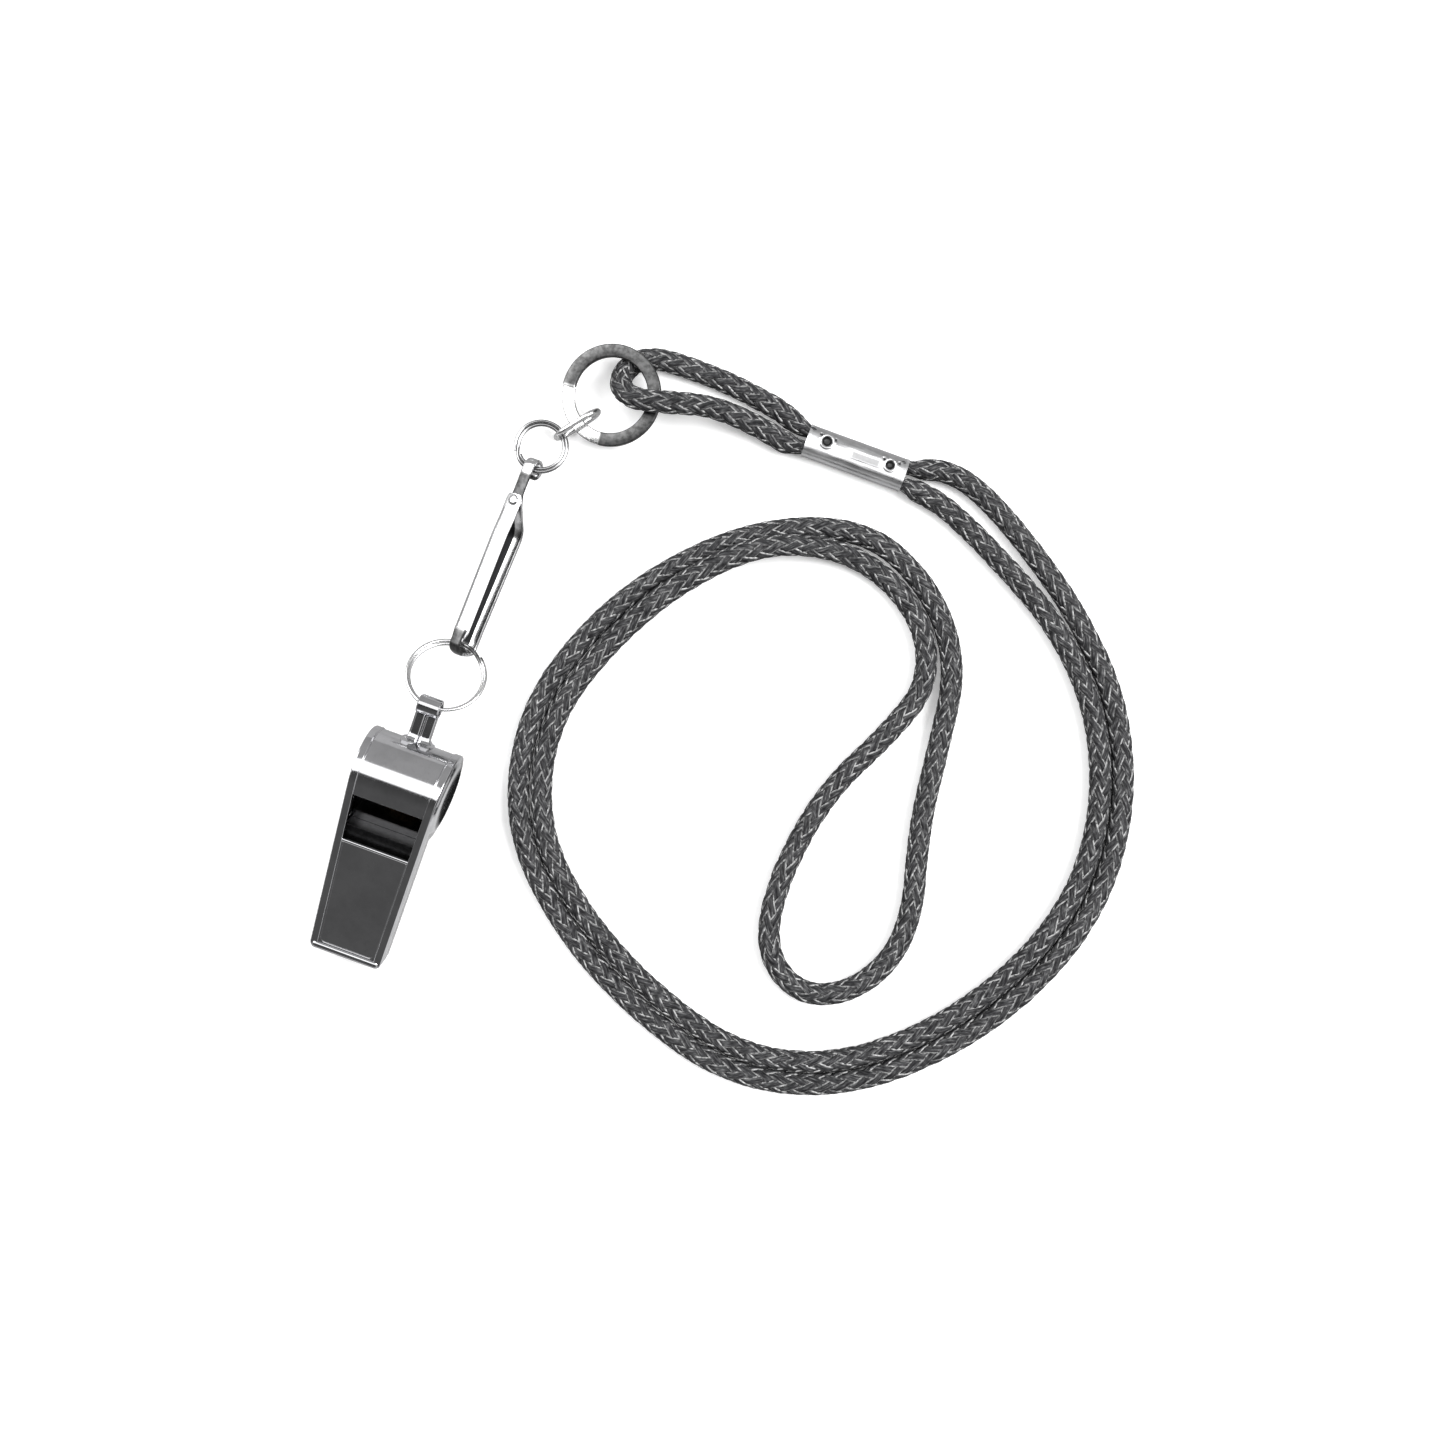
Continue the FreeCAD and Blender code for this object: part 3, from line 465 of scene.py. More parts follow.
def braid(name, controls, spacing=0.52):
    """A round braid of sixteen plaits, each over two and under two, pressed narrower in the ferrule."""
    path, length = spline_points(name, controls, spacing)
    tangents, sides, ups = frames_along(path)
    count = len(path)
    reach = np.linspace(0.0, length, count)
    inside = np.abs(path[:, 0] - FERRULE.x) - FERRULE_HALF
    beside = np.abs(path[:, 1] - FERRULE.y) < 6
    squeeze = np.where(beside, np.clip((PRESSED_REACH - inside) / PRESSED_REACH, 0, 1), 0.0)
    across_scale = 1 - PRESSED * squeeze**2 * (3 - 2 * squeeze)
    level = np.cross(tangents, (0.0, 0.0, 1.0))
    level /= np.linalg.norm(level, axis=1)[:, None]

    points, faces, across, yarn = [], [], [], []
    section = [(1.0, 0.0), (0.55, 0.75), (-0.55, 0.75), (-1.0, 0.0), (-0.5, -0.7), (0.5, -0.7)]
    # How much of the painted highlight each section point takes: full at the plait's edges and underside,
    # little at its crown.
    edge_highlight_weights = [1.0, 0.25, 0.25, 1.0, 1.0, 1.0]
    middle_radius = BRAID_RADIUS - PLAIT_THICKNESS / 2 - 0.20
    size = len(section)
    for way in (1, -1):
        for plait in range(PLAITS):
            turns = way * reach / LAY + plait / PLAITS
            angle = 2 * math.pi * turns
            wave = np.cos(4 * angle - math.pi / 4)
            rise = way * PLAIT_LIFT * np.tanh(1.8 * wave) / math.tanh(1.8)
            knots = int(length / WOBBLE_EVERY) + 2
            wobble = np.interp(reach, np.linspace(0, length, knots), rng.normal(0, WOBBLE, knots))
            radius = middle_radius + rise + wobble
            slope = way * 2 * math.pi * middle_radius / LAY
            outward = sides * np.cos(angle)[:, None] + ups * np.sin(angle)[:, None]
            around = -sides * np.sin(angle)[:, None] + ups * np.cos(angle)[:, None]
            run = tangents + around * slope
            run /= np.linalg.norm(run, axis=1)[:, None]
            breadth = np.cross(run, outward)
            breadth /= np.linalg.norm(breadth, axis=1)[:, None]
            centre = outward * radius[:, None]
            start = len(points)
            ring_points = []
            for a, b in section:
                aside, above = a * PLAIT_WIDTH / 2, b * PLAIT_THICKNESS / 2
                ring_points.append(centre + breadth * aside + outward * above)
            rings = np.stack(ring_points, 1)
            sideways = np.einsum("ijk,ik->ij", rings, level)
            rings = rings - level[:, None, :] * (sideways * (1 - across_scale)[:, None])[:, :, None]
            rings = rings + path[:, None, :]
            points.extend(map(tuple, (rings.reshape(-1, 3) * MM)))
            across.extend(edge_highlight_weights * count)
            seed = (plait + (PLAITS if way < 0 else 0)) * 17.3
            for r in reach:
                yarn.extend((seed + a * 2.2, r * YARN_SCALE, seed * 0.37 + b) for a, b in section)
            for i in range(count - 1):
                low, high = start + i * size, start + (i + 1) * size
                for k in range(size):
                    m = (k + 1) % size
                    faces.append((low + k, low + m, high + m, high + k))
            faces.append(tuple(start + k for k in reversed(range(size))))
            faces.append(tuple(start + (count - 1) * size + k for k in range(size)))

    # A core, so that no light shows between the plaits.
    start = len(points)
    for i in range(count):
        for k in range(CORE_POINTS):
            a = 2 * math.pi * k / CORE_POINTS
            off = (middle_radius - 0.35) * (sides[i] * math.cos(a) + ups[i] * math.sin(a))
            off = off - level[i] * (off @ level[i]) * (1 - across_scale[i])
            points.append(tuple((path[i] + off) * MM))
            across.append(0.0)
            yarn.append((200.0 + k, reach[i] * YARN_SCALE, 0.0))
    for i in range(count - 1):
        low, high = start + i * CORE_POINTS, start + (i + 1) * CORE_POINTS
        for k in range(CORE_POINTS):
            m = (k + 1) % CORE_POINTS
            faces.append((low + k, high + k, high + m, low + m))

    mesh = bpy.data.meshes.new(name)
    mesh.from_pydata(points, [], faces)
    mesh.attributes.new("across", "FLOAT", "POINT").data.foreach_set("value", np.array(across, np.float32))
    flat = np.array(yarn, np.float32).ravel()
    mesh.attributes.new("yarn", "FLOAT_VECTOR", "POINT").data.foreach_set("vector", flat)
    mesh.materials.append(BRAID)
    mesh.shade_smooth()
    obj = bpy.data.objects.new(name, mesh)
    bpy.context.scene.collection.objects.link(obj)
    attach(obj, "lanyard")
    return obj, path


def place_cord(name, node, controls):
    obj, path = braid(name, controls)
    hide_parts(node)


place_cord("neck_braid", "neck_cord", NECK)
place_cord("ring_loop_braid", "ring_loop_cord", LOOP)

# ---------------------------------------------------------------- whistle

TIP_Y, REAR_Y = -41.4, 10.25
TIP_HALF, REAR_HALF, TIP_CORNER = 8.4, 10.3, 1.1
BARREL_RADIUS, TIP_RISE = 10.0, 0.7
UNDER, TIP_DROP = 2.6, 0.6
PLATE, LIP, PROUD, SHEET = 0.9, 1.7, 0.25, 0.7
WINDOW_FRONT, LABIUM = -13.3, -2.4
WHISTLE_TILT, LUG_TILT = 17.83, 7.1
barrel_centre = PIVOT["pea_roll"]
WHISTLE = Matrix.Translation(barrel_centre) @ Matrix.Rotation(math.radians(WHISTLE_TILT), 4, "X")
LUG = Matrix.Translation(barrel_centre) @ Matrix.Rotation(math.radians(LUG_TILT), 4, "X")


def half_width(y):
    """Over the side plates, half of it, at a distance along the whistle. The tip's corners are rounded."""
    into_corner = min(max(TIP_Y + TIP_CORNER - y, 0.0), TIP_CORNER)
    rounding = TIP_CORNER - math.sqrt(TIP_CORNER**2 - into_corner**2)
    return TIP_HALF + (REAR_HALF - TIP_HALF) * (y - TIP_Y) / (REAR_Y - TIP_Y) - 0.65 * rounding


def top_z(y, grow=0.0):
    return BARREL_RADIUS + grow + TIP_RISE * y / -TIP_Y


def under_z(y, grow=0.0):
    return UNDER - grow - TIP_DROP * y / -TIP_Y


def side_outline(grow):
    """The whistle's side outline from the mouthpiece's top, round the barrel, to its underside."""
    radius = BARREL_RADIUS + grow
    tip = [TIP_Y + d for d in (0.0, 0.12, 0.3, 0.55, 0.8, 1.1)]
    points = [(y, top_z(y, grow)) for y in tip + list(np.linspace(TIP_Y + 3.0, -2.0, 14))]
    foot = math.degrees(math.asin(under_z(-9.7, grow) / radius))
    points += arc_points((0.0, 0.0), radius, 90.0, -180.0 - foot, 2.5)
    corner_y = -radius * math.cos(math.radians(foot))
    points += [(y, under_z(y, grow)) for y in list(np.linspace(corner_y - 0.4, TIP_Y + 3.0, 10)) + tip[::-1]]
    return points


def side_plate(side):
    def ring(outline, depth):
        return [(side * (half_width(y) - depth), y, z) for y, z in outline]

    rim, seat = side_outline(PROUD), side_outline(0.0)
    crown = side_outline(PROUD - 0.07)
    edge = side_outline(PROUD - 0.13)
    shell = loft([
        ring(edge, 0.0), ring(crown, 0.06), ring(rim, 0.2), ring(rim, 0.26), ring(rim, LIP - 0.22),
        ring(rim, LIP - 0.16), ring(crown, LIP - 0.05),
        ring(seat, LIP), ring(seat, PLATE),
    ])
    profile = [(0, -0.3), (8.75, -0.3), (8.7, 0.0), (8.52, 0.08), (8.3, 0.27), (8.0, 0.42), (7.6, 0.53)]
    profile += [(7.0, 0.58), (4.0, 0.6), (0, 0.6)]
    boss_points, boss_faces = lathe(profile, 72)
    boss = ([(side * (half_width(y) + x), y, z) for y, z, x in boss_points], boss_faces)
    return [flip(shell) if side > 0 else shell, flip(boss) if side < 0 else boss]


for side, word in ((1, "right"), (-1, "left")):
    piece(
        word + "_side", side_plate(side), NICKEL, "whistle", [word + "_side_plate"], WHISTLE,
        sharp=62.0,
    )


def sheet_strip(outer, inner):
    """Sheet between two side paths of equally many points, as wide as fits between the side plates.

    A shallow groove runs beside each plate's rim."""
    rings = []
    for (y0, z0), (y1, z1) in zip(outer, inner):
        a, b = half_width(y0) - PLATE - 0.01, half_width(y1) - PLATE - 0.01
        rim = half_width(y0) - LIP
        top = []
        for x, sink in ((-a, 0), (-rim, 0), (0.06 - rim, 0.07), (0.16 - rim, 0.07), (0.24 - rim, 0)):
            share = 1 - sink / math.hypot(y0, z0)
            top.append((x, y0 * share, z0 * share))
        rings.append(top + [(-x, y, z) for x, y, z in reversed(top)] + [(b, y1, z1), (-b, y1, z1)])
    return flip(loft(rings))


def barrel_path(grow):
    points = [(LABIUM, top_z(LABIUM, grow) - 0.2)] if grow == 0 else [(LABIUM, top_z(LABIUM, grow))]
    points += [(y, top_z(y, grow)) for y in (LABIUM + 0.2, LABIUM + 0.26, -1.6, -0.8)]
    outline = side_outline(grow)
    return points + [p for p in outline if not (p[0] < -0.5 and p[1] > 5.0)]


outer, inner = barrel_path(0.0), barrel_path(-SHEET)
inner[0] = (LABIUM, top_z(LABIUM) - 0.32)
# The barrel's inside is painted darker, as shade within the whistle.
piece(
    "barrel", [sheet_strip(outer, inner)], NICKEL, "whistle", ["barrel_strip"], WHISTLE,
    bevel=0.06, wear_and_shade=lambda p: 0.35 if math.hypot(p[1], p[2]) < 9.6 else 0.0,
)


def roof_sink(x, y):
    """How far the roof lies below its outer level: a groove along three sides, turned down at the window."""
    if y > -13.95:
        return max(0.0, (y + 13.62) * 1.2) ** 2 - 0.07 * smooth((y + 13.95) / 0.2)
    round_off, middle_y, half_y = 1.0, (TIP_Y + 1.75 - 4.0) / 2, (-4.0 - TIP_Y - 1.75) / 2
    qx = abs(x) - (half_width(y) - 1.92) + round_off
    qy = abs(y - middle_y) - half_y + round_off
    d = math.hypot(max(qx, 0), max(qy, 0)) + min(max(qx, qy), 0) - round_off
    groove = max(0.0, 1 - (d / 0.14) ** 2)
    return 0.08 * groove


def roof_panel():
    near = [0.0, 0.7, 0.82, 0.9, 0.96, 1.02, 1.08, 1.16, 1.26, 1.4, 1.6, 1.85, 2.2, 2.8]
    ends = [TIP_Y + 0.1, TIP_Y + 1.4] + [TIP_Y + 0.74 + d for d in near[2:]]
    rows = ends + list(np.linspace(TIP_Y + 4.2, -18.0, 16))
    rows += [-14.9 - d for d in (2.2, 1.6, 1.2, 0.8, 0.5, 0.3, 0.16, 0.08, 0.0, -0.08, -0.16, -0.3)]
    rows += [-14.2, -13.95, -13.85, -13.75, -13.66, -13.58, -13.5, -13.42, -13.36, WINDOW_FRONT]
    points, faces = [], []
    for y in rows:
        half = half_width(y) - PLATE - 0.01
        xs = [-half + d for d in near] + [-3.0, -1.0, 1.0, 3.0] + [half - d for d in reversed(near)]
        points.extend((x, y, top_z(y) - min(roof_sink(x, y), SHEET - 0.1)) for x in xs)
    width = 2 * len(near) + 4
    for i in range(len(rows) - 1):
        for k in range(width - 1):
            a = i * width + k
            faces.append((a, a + 1, a + 1 + width, a + width))
    top_count = len(points)
    points.extend((x, y, top_z(y) - SHEET) for x, y, _ in points[:top_count])
    faces += [tuple(top_count + i for i in reversed(face)) for face in faces]
    rim = list(range(width)) + [width - 1 + i * width for i in range(1, len(rows))]
    rim += [top_count - 1 - k for k in range(1, width)]
    rim += [i * width for i in range(len(rows) - 2, 0, -1)]
    for a, b in zip(rim, rim[1:] + rim[:1]):
        faces.append((b, a, top_count + a, top_count + b))
    return points, faces


piece("roof", [roof_panel()], NICKEL, "whistle", ["mouthpiece_roof"], WHISTLE, sharp=50.0)


def windway_block():
    def ring(y, low, high):
        half = half_width(y) - PLATE - 0.02
        return [(-half, y, low), (half, y, low), (half, y, high), (-half, y, high)]

    return flip(loft([ring(-40.8, 3.92, 6.2), ring(-10.4, 3.48, 7.92)]))


# The windway block, seen through the window, is painted dark all over, as shade within the whistle.
piece(
    "windway", [windway_block()], NICKEL, "whistle", ["windway_floor"], WHISTLE, bevel=0.12,
    wear_and_shade=lambda p: 0.9,
)


def bead():
    """A half-round bead carried round the mouthpiece's end."""
    low, high = under_z(TIP_Y, PROUD), top_z(TIP_Y, PROUD)
    outline = [(x, z + (low + high) / 2) for x, z in rounded_section(2 * TIP_HALF - 0.9, high - low, 0.9, 6)]
    section = [(-0.55, 0.0), (-0.55, -0.12), (0.12, -0.16), (0.3, 0.02), (0.38, 0.3), (0.4, 0.6)]
    section += [(0.36, 0.9), (0.24, 1.18), (0.05, 1.36), (-0.2, 1.4)]
    rings = []
    for i, (x, z) in enumerate(outline):
        before, after = outline[i - 1], outline[(i + 1) % len(outline)]
        t = np.array([after[0] - before[0], after[1] - before[1]])
        t /= np.linalg.norm(t)
        n = np.array([t[1], -t[0]])
        rings.append([(x + n[0] * out, TIP_Y + along, z + n[1] * out) for out, along in section])
    return loft(rings, closed=True)


piece("mouth_bead", [bead()], NICKEL, "whistle", ["mouthpiece_bead"], WHISTLE, sharp=60.0)


def cork_ball():
    radius = 5.36
    rows = [(0.0, -radius)]
    for i in range(1, 32):
        a = math.pi * i / 32
        rows.append((radius * math.sin(a), -radius * math.cos(a)))
    rows.append((0.0, radius))
    points, faces = lathe(rows, 56)
    rough = []
    for p in points:
        v = Vector(p)
        pit = 0.06 * math.sin(3.1 * v.x + 1.7 * v.y) * math.sin(2.3 * v.z - v.x) + 0.03 * rng.normal()
        rough.append(tuple(v * (1 - 0.012 + pit * 0.012)))
    return rough, faces


piece(
    "cork_ball", [cork_ball()], CORK, "pea", ["cork_pea"], Matrix.Translation(middle("cork_pea")),
    sharp=180.0,
)


def lug():
    """Two bars side by side from flared feet, curved to the barrel, to a rolled eye."""
    reach, eye, hole, width = 18.5, 2.3, 1.45, 5.2
    shells = []
    for side in (1, -1):
        rings = []
        for y in (9.4, 9.9, 10.3, 10.7, 11.2, 12.0, 13.5, 15.0, 16.4):
            flare = smooth((11.3 - y) / 1.3)
            inner, outer = side * 0.07, side * (width / 2 + 0.95 * flare)
            thick = 2.3 + 1.1 * flare
            section = rounded_section(abs(outer - inner), thick, 0.62, 4)
            centre = (outer + inner) / 2
            rings.append([(centre + a, y, b) for a, b in section])
        shells.append(flip(loft(rings)))
    rings = []
    half = width / 2
    profile = [(-half, hole + 0.12), (-half + 0.12, hole), (half - 0.12, hole), (half, hole + 0.12)]
    profile += [(half, eye - 0.25), (half - 0.25, eye), (-half + 0.25, eye), (-half, eye - 0.25)]
    for i in range(48):
        a = 2 * math.pi * i / 48
        rings.append([(x, reach + r * math.cos(a), r * math.sin(a)) for x, r in profile])
    shells.append(loft(rings, closed=True))
    for side in (1, -1):
        rings = []
        for i in range(-9, 10):
            a = math.radians(i * 2.1)
            half = 0.4 + 1.5 * math.sqrt(max(0.0, 1 - (i / 9.4) ** 2))
            middle_x = side * (1.95 + 0.25 * (i / 9.0) ** 2)
            profile = ((-half, 9.95), (-half + 0.08, 10.3), (-half + 0.35, 10.5), (half - 0.35, 10.5))
            profile += ((half - 0.08, 10.3), (half, 9.95))
            rings.append([(middle_x + x, r * math.cos(a), r * math.sin(a)) for x, r in profile])
        shells.append(loft(rings))
    return shells


piece("rear_loop", lug(), NICKEL, "whistle", ["rear_lug"], LUG, sharp=40.0)

# ---------------------------------------------------------------- rings and link


def split_ring(radius, section, pitch, seam, spread=0.0, jog=24.0, gap=5.0):
    """Two turns of wire. seam is the heading, in degrees, at which one turn crosses to the other."""
    points = []
    total = 720.0 - 2 * gap
    count = int(total / 3)
    for i in range(count + 1):
        turn = gap + total * i / count
        level = smooth((turn - (360.0 - jog)) / (2 * jog))
        r = radius + spread * (level - 0.5)
        a = math.radians(seam + turn)
        points.append((r * math.cos(a), r * math.sin(a), pitch * (level - 0.5)))
    return wire(points, section, fixed_up=np.array([0.0, 0.0, 1.0]))


def ring_frame(centre, axis, angle):
    return Matrix.Translation(centre) @ Matrix.Rotation(math.radians(angle), 4, axis)


def darker_seam_stretch(p):
    """The lower ring is darker over a stretch round the heading where one turn crosses to the other."""
    heading = math.degrees(math.atan2(p[1], p[0]))
    return 0.5 * smooth((20.0 - abs(heading - LOWER_RING_SEAM)) / 6.0)


LOWER_RING_SLOPE, SMALL_RING_SLOPE, LARGE_RING_TILT = 26.15, 4.40, 9.5
# The third heading is where the large ring's painted bright reflection lies; its seam lies there too.
LOWER_RING_SEAM, SMALL_RING_SEAM, REFLECTION_HEADING = 60.0, 215.0, 230.0
RAISED = 40.0  # heading of the large ring's raised side
ALONG_X = Vector((1, 0, 0))
lower_turns = split_ring(8.55, disc_section(0.43, 16), 0.74, LOWER_RING_SEAM, spread=0.45, gap=9.0)
piece(
    "lower_ring", [lower_turns], CLEAN_WIRE, "lower_ring", ["lower_split_ring"],
    ring_frame(middle("lower_split_ring"), ALONG_X, -LOWER_RING_SLOPE), sharp=50.0, wear_and_shade=darker_seam_stretch,
)
small_turns = split_ring(5.55, disc_section(0.41, 16), 0.30, SMALL_RING_SEAM, spread=0.74)
piece(
    "small_ring", [small_turns], WIRE, "small_ring", ["small_split_ring"],
    ring_frame(middle("small_split_ring"), ALONG_X, -SMALL_RING_SLOPE), sharp=50.0,
)


def painted_reflection_stretch(p):
    """The band is dim bare metal except over one stretch, which stays plated and bright as a painted
    reflection.
    """
    heading = math.degrees(math.atan2(p[1], p[0])) % 360
    return 0.5 * smooth((abs(heading - REFLECTION_HEADING) - 43.0) / 2.0)


across_raised = math.radians(RAISED - 90)
raise_axis = Vector((math.cos(across_raised), math.sin(across_raised), 0))
band_section = rounded_section(3.0, 0.74, 0.3)
piece(
    "large_ring", [split_ring(10.15, band_section, 0.8, REFLECTION_HEADING, jog=38.0, gap=44.0)], BAND,
    "large_ring", ["large_split_ring"],
    ring_frame(middle("large_split_ring"), raise_axis, LARGE_RING_TILT), sharp=50.0, wear_and_shade=painted_reflection_stretch,
)

LINK_HEADING = 52.0


def link():
    """Round wire bent to an oval that stands on edge. Its two ends meet at the far end."""
    wire_radius, height, length = 0.65, 7.0, 12.6
    bend, half = height / 2 - wire_radius, length / 2 - height / 2
    points = [(half - t * 2 * half, 0.0, bend) for t in np.linspace(0.0, 1.0, 6)]
    points += [(x, 0.0, z) for x, z in arc_points((-half, 0.0), bend, 90.0, 270.0, 10.0)[1:]]
    points += [(-half + t * 2 * half, 0.0, -bend) for t in np.linspace(0.0, 1.0, 6)][1:]
    points += [(x, 0.0, z) for x, z in arc_points((half, 0.0), bend, -90.0, 90.0, 10.0)[1:-1]]
    return wire(points, disc_section(wire_radius, 16), closed=True)


piece(
    "link", [link()], CLEAN_WIRE, "link", ["oval_link"],
    Matrix.Translation(middle("oval_link")) @ Matrix.Rotation(math.radians(LINK_HEADING), 4, "Z"), sharp=50.0,
)

# ---------------------------------------------------------------- snap hook

HOOK_TURN, HOOK_ROLL = -1.4, -22.0
HOOK = Matrix.Translation(PIVOT["lower_ring_swing"])
HOOK = HOOK @ Matrix.Rotation(math.radians(HOOK_TURN), 4, "Z")
HOOK = HOOK @ Matrix.Rotation(math.radians(HOOK_ROLL), 4, "Y")
STRIP_WIDTH, STRIP_THICK, GATE_THICK = 4.0, 0.8, 0.5
BEND, NECK_Z, EYE_Y, EYE = 3.1, 1.3, 43.6, 2.0
ROOT_Z = NECK_Z + STRIP_THICK / 2 + GATE_THICK / 2
GATE_Z = BEND - STRIP_THICK / 2 - 0.1 - GATE_THICK / 2


def hook_body():
    path = [(3.6, BEND), (2.4, BEND), (1.2, BEND)]
    path += [(0.65 * y, z) for y, z in arc_points((0.0, 0.0), BEND, 90.0, 270.0, 8.0)]
    spine = [(0.0, -BEND), (4.0, -BEND), (28.6, -4.2), (34.8, NECK_Z), (EYE_Y, NECK_Z)]
    path += rounded_path(spine, [30, 5, 3])[1:]
    path += arc_points((EYE_Y, NECK_Z - EYE), EYE, 90.0, -203.0, 8.0)[1:]
    last_of_bend = 23

    def section(i, share):
        """Narrower round the bend and along the neck. Extra points let the spine's left half be painted black
        as shade while its right half stays bright.
        """
        width = STRIP_WIDTH
        if share > 0.5:
            width -= 1.4 * smooth((path[i][0] - 34.5) / 3.0)
        if i <= last_of_bend:
            waist = 1.5 + 0.8 * smooth((i - 7) / 8)
            width = STRIP_WIDTH - waist * smooth((25 - abs(i - 9) * 2.0) / 12)
        corners, up = rounded_section(width, STRIP_THICK, 0.2, 3), STRIP_THICK / 2
        return corners[:4] + [(0.1, up), (-0.1, up)] + corners[4:12] + [(0.2, -up), (0.4, -up)] + corners[12:]

    return flip(strip(path, section))


def hook_darkening(p):
    """The left half of the spine's inner face, which looks up at the gate, is painted black as the dark
    reflection of the gate's shaded underside. The neck and the nose are darker; the spine's right half stays
    bright.
    """
    x, y, z = p
    spine_middle = -BEND - 1.1 * (y - 4.0) / 24.6
    if 0.5 < y < 31.0 and spine_middle + 0.2 < z < 0:
        return 1.0 if x < 0.0 else 0.1 + 0.3 * smooth((x - 1.6) / 0.2)
    nose = 0.65 * smooth((3.9 - y) / 0.6) if z > 0 or y < 0 and x < 0.3 else 0.0
    return max(0.1, 0.7 * smooth((y - 35.2) / 0.8) * smooth((42.6 - y) / 0.8), nose)


piece("hook", [hook_body()], STRIP, "hook", ["hook_body"], HOOK, sharp=50.0, wear_and_shade=hook_darkening)

gate_path = rounded_path([(33.0, ROOT_Z), (31.0, ROOT_Z), (27.0, GATE_Z), (1.5, GATE_Z)], [8, 8])


def gate_section(share):
    """Slightly crowned spring strip, narrower at its free end."""
    half = STRIP_WIDTH / 2 - 0.35 * smooth((share - 0.97) / 0.03)
    face = GATE_THICK / 2
    crown, shoulder = face + 0.06, face + 0.036
    right = [(half, -0.17), (half, 0.13), (half - 0.15, 0.23), (half / 2, shoulder), (0.0, crown)]
    left = [(-half / 2, shoulder), (-half + 0.15, 0.23), (-half, 0.13), (-half, -0.17)]
    return right + left + [(-half + 0.1, -face), (half - 0.1, -face)]


gate_shell = strip(gate_path, lambda i, share: [(a, -b) for a, b in gate_section(share)])
gate_rise = sorted((y, z) for y, z in gate_path)


def gate_underside_shade(p):
    """The gate's underside is painted black, as shade."""
    middle_z = np.interp(p[1], [y for y, _ in gate_rise], [z for _, z in gate_rise])
    return 1.0 if p[2] < middle_z else 0.0


piece("gate", [gate_shell], STRIP, "gate", ["gate_blade"], HOOK, sharp=50.0, wear_and_shade=gate_underside_shade)

root_path = [(33.0, ROOT_Z), (34.2, ROOT_Z), (35.4, ROOT_Z), (36.3, ROOT_Z), (36.6, ROOT_Z)]


def root_section(i, share):
    return rounded_section(STRIP_WIDTH - 1.2 * smooth((share - 0.55) / 0.45), GATE_THICK, 0.15, 2)


piece(
    "gate_tail", [flip(strip(root_path, root_section))], STRIP, "hook", ["gate_root"], HOOK,
    sharp=50.0,
)

RIVET_Y = 35.1
rivet_profile = [(0, -0.5), (0.8, -0.5), (0.8, -0.02), (1.3, 0.0), (1.3, 0.12), (1.18, 0.3)]
rivet_profile += [(0.85, 0.44), (0.4, 0.5), (0, 0.51)]
rivet_place = HOOK @ Matrix.Translation(Vector((0.0, RIVET_Y, ROOT_Z + GATE_THICK / 2)))
piece(
    "rivet", [lathe(rivet_profile, 32)], STRIP, "hook", ["hook_rivet"], rivet_place, sharp=50.0
)

# ---------------------------------------------------------------- crimp ferrule

# Pierced dimples as (along, across, radius), and the small nicks beside them as (along, across).
HOLES = ((-7.4, 0.8, 1.35), (8.0, 0.6, 1.2))
NICKS = ((-9.1, 1.9), (-5.6, 1.75), (6.3, 1.5), (9.9, 1.65))


def ferrule():
    """A pressed sheet sleeve with two pierced dimples, a pressed panel between them and flared mouths."""
    width, height, wall, corner = 7.5, 6.2, 0.45, 2.35
    rear_reach, rear_drop = 3.8, 3.1
    stations = sorted({round(x, 3) for x in np.concatenate([
        np.linspace(-FERRULE_HALF, FERRULE_HALF, 61),
        *[np.linspace(hx - 1.9, hx + 1.9, 27) for hx, _, _ in HOLES],
    ])})
    front, rear = corner - width / 2, width / 2 - rear_reach
    round_end = arc_points((0.0, 0.0), 1.0, 90.0, -90.0, 4.0)
    rear_side = [(rear + rear_reach * y, rear_drop * z) for y, z in round_end]
    outline = [(y, height / 2) for y in np.linspace(front, rear, 12)][:-1] + rear_side
    outline += [(y, -height / 2) for y in np.linspace(rear, front, 8)[1:]]
    outline += arc_points((front, corner - height / 2), corner, -90.0, -180.0, 9.0)[1:]
    outline += arc_points((front, height / 2 - corner), corner, 180.0, 90.0, 6.0)[:-1]

    def sink(x, y):
        """Height added to the plain top: below zero in dimples, panel and nicks, above it at their lips."""
        depth = 0.0
        for hx, hy, r in HOLES:
            d = math.hypot(x - hx, (y - hy))
            depth += -1.1 * smooth((r - d) / (0.6 * r)) + 0.2 * math.exp(-(((d - r * 1.2) / 0.26) ** 2))
        panel = smooth((4.4 - abs(x - 2.0)) / 0.9) * smooth((1.15 - abs(y + 0.1)) / 0.45)
        depth -= 0.1 * panel
        for nx, ny in NICKS:
            depth -= 0.3 * smooth((0.5 - math.hypot(x - nx, y - ny)) / 0.4)
        dent = 0.10 * math.exp(-(((x + 9.8) / 1.2) ** 2)) + 0.08 * math.exp(-(((x - 10.6) / 1.0) ** 2))
        return depth - dent

    rings = []
    for x in stations:
        flare = 1.0 + 0.03 * smooth((abs(x) - 11.2) / 0.8)
        ring = []
        for y, z in outline:
            lift = sink(x, y) * smooth((z - 1.6) / 1.0)
            ring.append((x, y * flare, z * flare + lift if z > 0 else z))
        rings.append(ring)
    scale_y, scale_z = (width / 2 - wall) / (width / 2), (height / 2 - wall) / (height / 2)
    inner = []
    for x in reversed(stations):
        under_hole = 0.9 * smooth((1.6 - min(abs(x - hx) for hx, _, _ in HOLES)) / 1.0)
        inner.append([(x, y * scale_y, z * scale_z - (under_hole if z >= 2.6 else 0.0)) for y, z in outline])
    return loft(rings + inner, closed=True)


